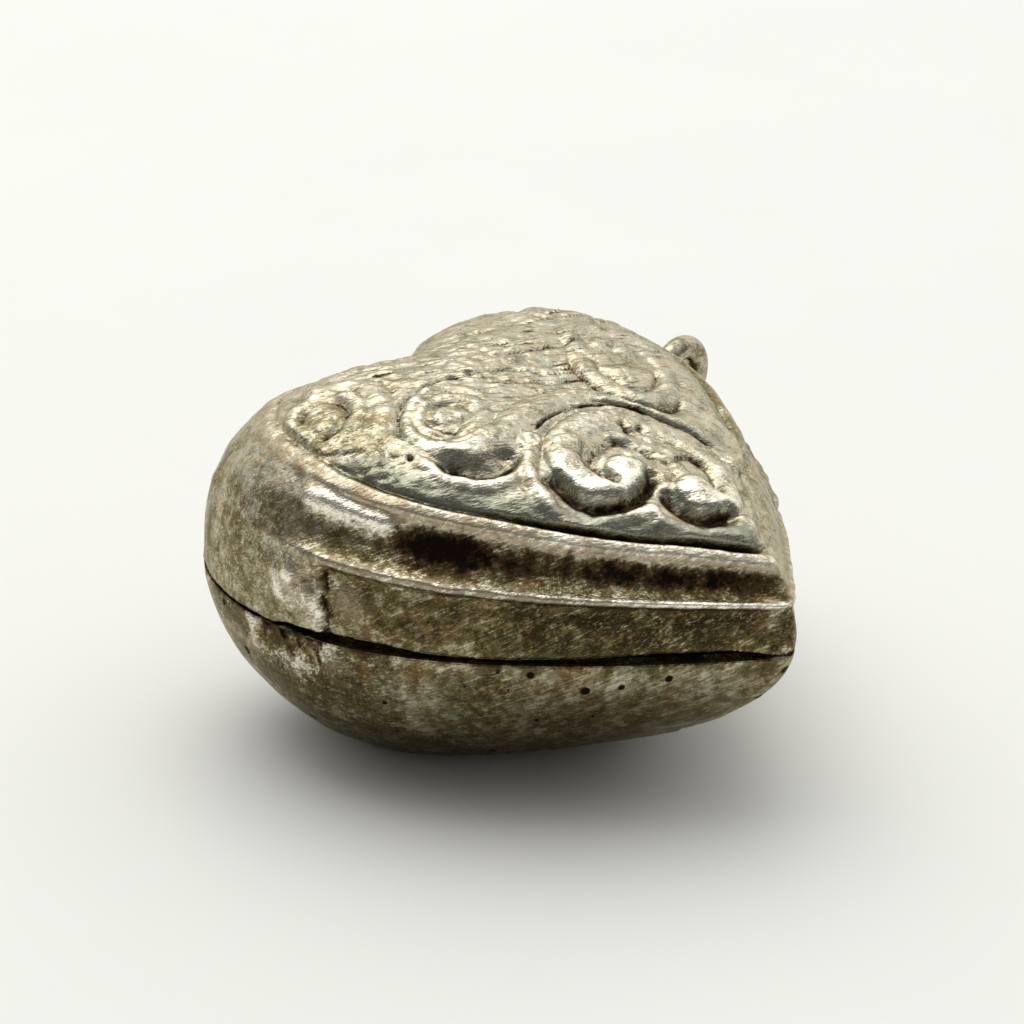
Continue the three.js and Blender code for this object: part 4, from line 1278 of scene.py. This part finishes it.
def view_axes():
    """Right, up and away directions of the view, before its roll."""
    turn, lean = VIEW_TURN, VIEW_LEAN
    right = Vector((math.sin(turn), -math.cos(turn), 0))
    away = Vector((math.cos(turn) * math.cos(lean), math.sin(turn) * math.cos(lean), -math.sin(lean)))
    up = Vector((math.cos(turn) * math.sin(lean), math.sin(turn) * math.sin(lean), math.cos(lean)))
    return right, up, away


def view_back():
    """Direction along the floor, away from the camera."""
    _, _, away = view_axes()
    return Vector((away.x, away.y, 0)).normalized()


def add_floor(scene):
    bm = bmesh.new()
    bmesh.ops.create_grid(bm, x_segments=4, y_segments=4, size=FLOOR_REACH)
    mesh = bpy.data.meshes.new("pale_floor")
    bm.to_mesh(mesh)
    bm.free()
    mesh.materials.append(floor_material(scene.heart_colours))
    floor = bpy.data.objects.new("pale_floor", mesh)
    scene.collection.objects.link(floor)


def add_lamp(scene):
    """A wide soft lamp above, a little behind the charm and to its left."""
    right, _, _ = view_axes()
    lamp = bpy.data.lights.new("softbox", "AREA")
    lamp.shape = "SQUARE"
    lamp.size = LAMP_SIZE
    lamp.energy = LAMP_ENERGY
    lamp.color = LAMP_COLOUR
    box = bpy.data.objects.new("softbox", lamp)
    box.location = Vector((0, 0, LAMP_HEIGHT)) + LAMP_BACK * view_back() - LAMP_LEFT * right
    box.rotation_euler = box.location.to_track_quat("Z", "Y").to_euler()
    scene.collection.objects.link(box)


def add_room(scene):
    """A pale room that is brighter above and behind the charm."""
    lit_side = view_back() + Vector((0, 0, 1))
    world = bpy.data.worlds.new("pale_room")
    world.use_nodes = True
    nodes = Nodes(world.node_tree)
    around = nodes.add("ShaderNodeTexCoord").outputs["Generated"]
    values = {0: around, 1: lit_side.normalized()}
    facing = nodes.add("ShaderNodeVectorMath", values, operation="DOT_PRODUCT").outputs["Value"]
    strength = nodes.climb(facing, 0.1, 0.75, ROOM_DIM, ROOM_BRIGHT)
    glow = world.node_tree.nodes["Background"].inputs
    nodes.feed(glow, {"Color": ROOM_COLOUR, "Strength": strength})
    scene.world = world


def add_camera(scene):
    right, up, away = view_axes()
    data = bpy.data.cameras.new("photo_camera")
    data.sensor_width = SENSOR_WIDTH
    data.lens = LENS
    data.clip_start = CLIP_NEAR
    data.clip_end = CLIP_FAR
    camera = bpy.data.objects.new("photo_camera", data)
    aim = Vector((0, FRONT_LOW.y + AIM_FROM_TIP, HINGE_AT.z))
    place = aim + VIEW_RIGHT * right + VIEW_UP * up - VIEW_DISTANCE * away
    turned_right = math.cos(VIEW_ROLL) * right - math.sin(VIEW_ROLL) * up
    turned_up = math.sin(VIEW_ROLL) * right + math.cos(VIEW_ROLL) * up
    axes = Matrix((turned_right, turned_up, -away)).transposed()
    camera.matrix_world = Matrix.Translation(place) @ axes.to_4x4()
    scene.collection.objects.link(camera)
    scene.camera = camera


# Operators

class HEART_OT_front_shell(bpy.types.Operator):
    """Builds the carved front shell over its CAD solid"""

    bl_idname = "heart_charm.front_shell"
    bl_label = "Front shell"

    def execute(self, context):
        scene = context.scene
        material = silver("front_silver", scene.heart_colours, scratches=0.15, pits=0.0, bump=1.0)
        front_shell_piece(scene.heart_sizes, scene.heart_carving, material)
        return {"FINISHED"}


class HEART_OT_back_shell(bpy.types.Operator):
    """Builds the smooth back shell over its CAD solid"""

    bl_idname = "heart_charm.back_shell"
    bl_label = "Back shell"

    def execute(self, context):
        scene = context.scene
        material = silver("back_silver", scene.heart_colours, scratches=0.25, pits=1.0, bump=0.9)
        back_shell_piece(scene.heart_sizes, scene.heart_carving, material)
        return {"FINISHED"}


class HEART_OT_closing_rim(bpy.types.Operator):
    """Builds the filed strip that the front shell slips over"""

    bl_idname = "heart_charm.closing_rim"
    bl_label = "Closing rim"

    def execute(self, context):
        scene = context.scene
        material = silver("inner_silver", scene.heart_colours, scratches=0.8, pits=0.0, bump=0.6)
        closing_rim_piece(scene.heart_sizes, material)
        return {"FINISHED"}


class HEART_OT_hinge(bpy.types.Operator):
    """Dresses the hinge's knuckles and pin"""

    bl_idname = "heart_charm.hinge"
    bl_label = "Hinge"

    def execute(self, context):
        colours = context.scene.heart_colours
        tube = silver("hinge_silver", colours, scratches=0.5, pits=0.0, bump=0.6)
        wire = silver("pin_silver", colours, scratches=0.5, pits=0.0, bump=0.6)
        for name in ("lower_hinge_knuckle", "middle_hinge_knuckle", "upper_hinge_knuckle"):
            FRAME["nodes"][name].data.materials[0] = tube
        FRAME["nodes"]["hinge_pin"].data.materials[0] = wire
        return {"FINISHED"}


class HEART_OT_bail(bpy.types.Operator):
    """Builds the wire bail loop over its CAD solid"""

    bl_idname = "heart_charm.bail"
    bl_label = "Bail"

    def execute(self, context):
        colours = context.scene.heart_colours
        bail_piece(silver("bail_silver", colours, scratches=0.4, pits=0.0, bump=0.6))
        return {"FINISHED"}


class HEART_OT_stage(bpy.types.Operator):
    """Sets out the pale floor, the soft light and the camera"""

    bl_idname = "heart_charm.stage"
    bl_label = "Stage"

    def execute(self, context):
        scene = context.scene
        scene.view_settings.view_transform = "Standard"
        add_floor(scene)
        add_lamp(scene)
        add_room(scene)
        add_camera(scene)
        return {"FINISHED"}


class HEART_PT_panel(bpy.types.Panel):
    """Lists the charm's pieces, sizes and colours"""

    bl_idname = "HEART_PT_panel"
    bl_label = "Opening heart charm"
    bl_space_type = "VIEW_3D"
    bl_region_type = "UI"
    bl_category = "Heart charm"

    def draw(self, context):
        layout = self.layout
        for operator in OPERATORS:
            layout.operator(operator.bl_idname)
        for group in (context.scene.heart_sizes, context.scene.heart_carving, context.scene.heart_colours):
            box = layout.box()
            for name in group.__annotations__:
                box.prop(group, name)


OPERATORS = (
    HEART_OT_front_shell,
    HEART_OT_back_shell,
    HEART_OT_closing_rim,
    HEART_OT_hinge,
    HEART_OT_bail,
    HEART_OT_stage,
)
CLASSES = (HeartSizes, CarvingSizes, SilverColours, *OPERATORS, HEART_PT_panel)


def register():
    for cls in CLASSES:
        bpy.utils.register_class(cls)
    bpy.types.Scene.heart_sizes = PointerProperty(type=HeartSizes)
    bpy.types.Scene.heart_carving = PointerProperty(type=CarvingSizes)
    bpy.types.Scene.heart_colours = PointerProperty(type=SilverColours)


def unregister():
    del bpy.types.Scene.heart_colours
    del bpy.types.Scene.heart_carving
    del bpy.types.Scene.heart_sizes
    for cls in reversed(CLASSES):
        bpy.utils.unregister_class(cls)


def main():
    register()
    bpy.ops.heart_charm.front_shell()
    bpy.ops.heart_charm.back_shell()
    bpy.ops.heart_charm.closing_rim()
    bpy.ops.heart_charm.hinge()
    bpy.ops.heart_charm.bail()
    bpy.ops.heart_charm.stage()


if __name__ == "__main__":
    main()
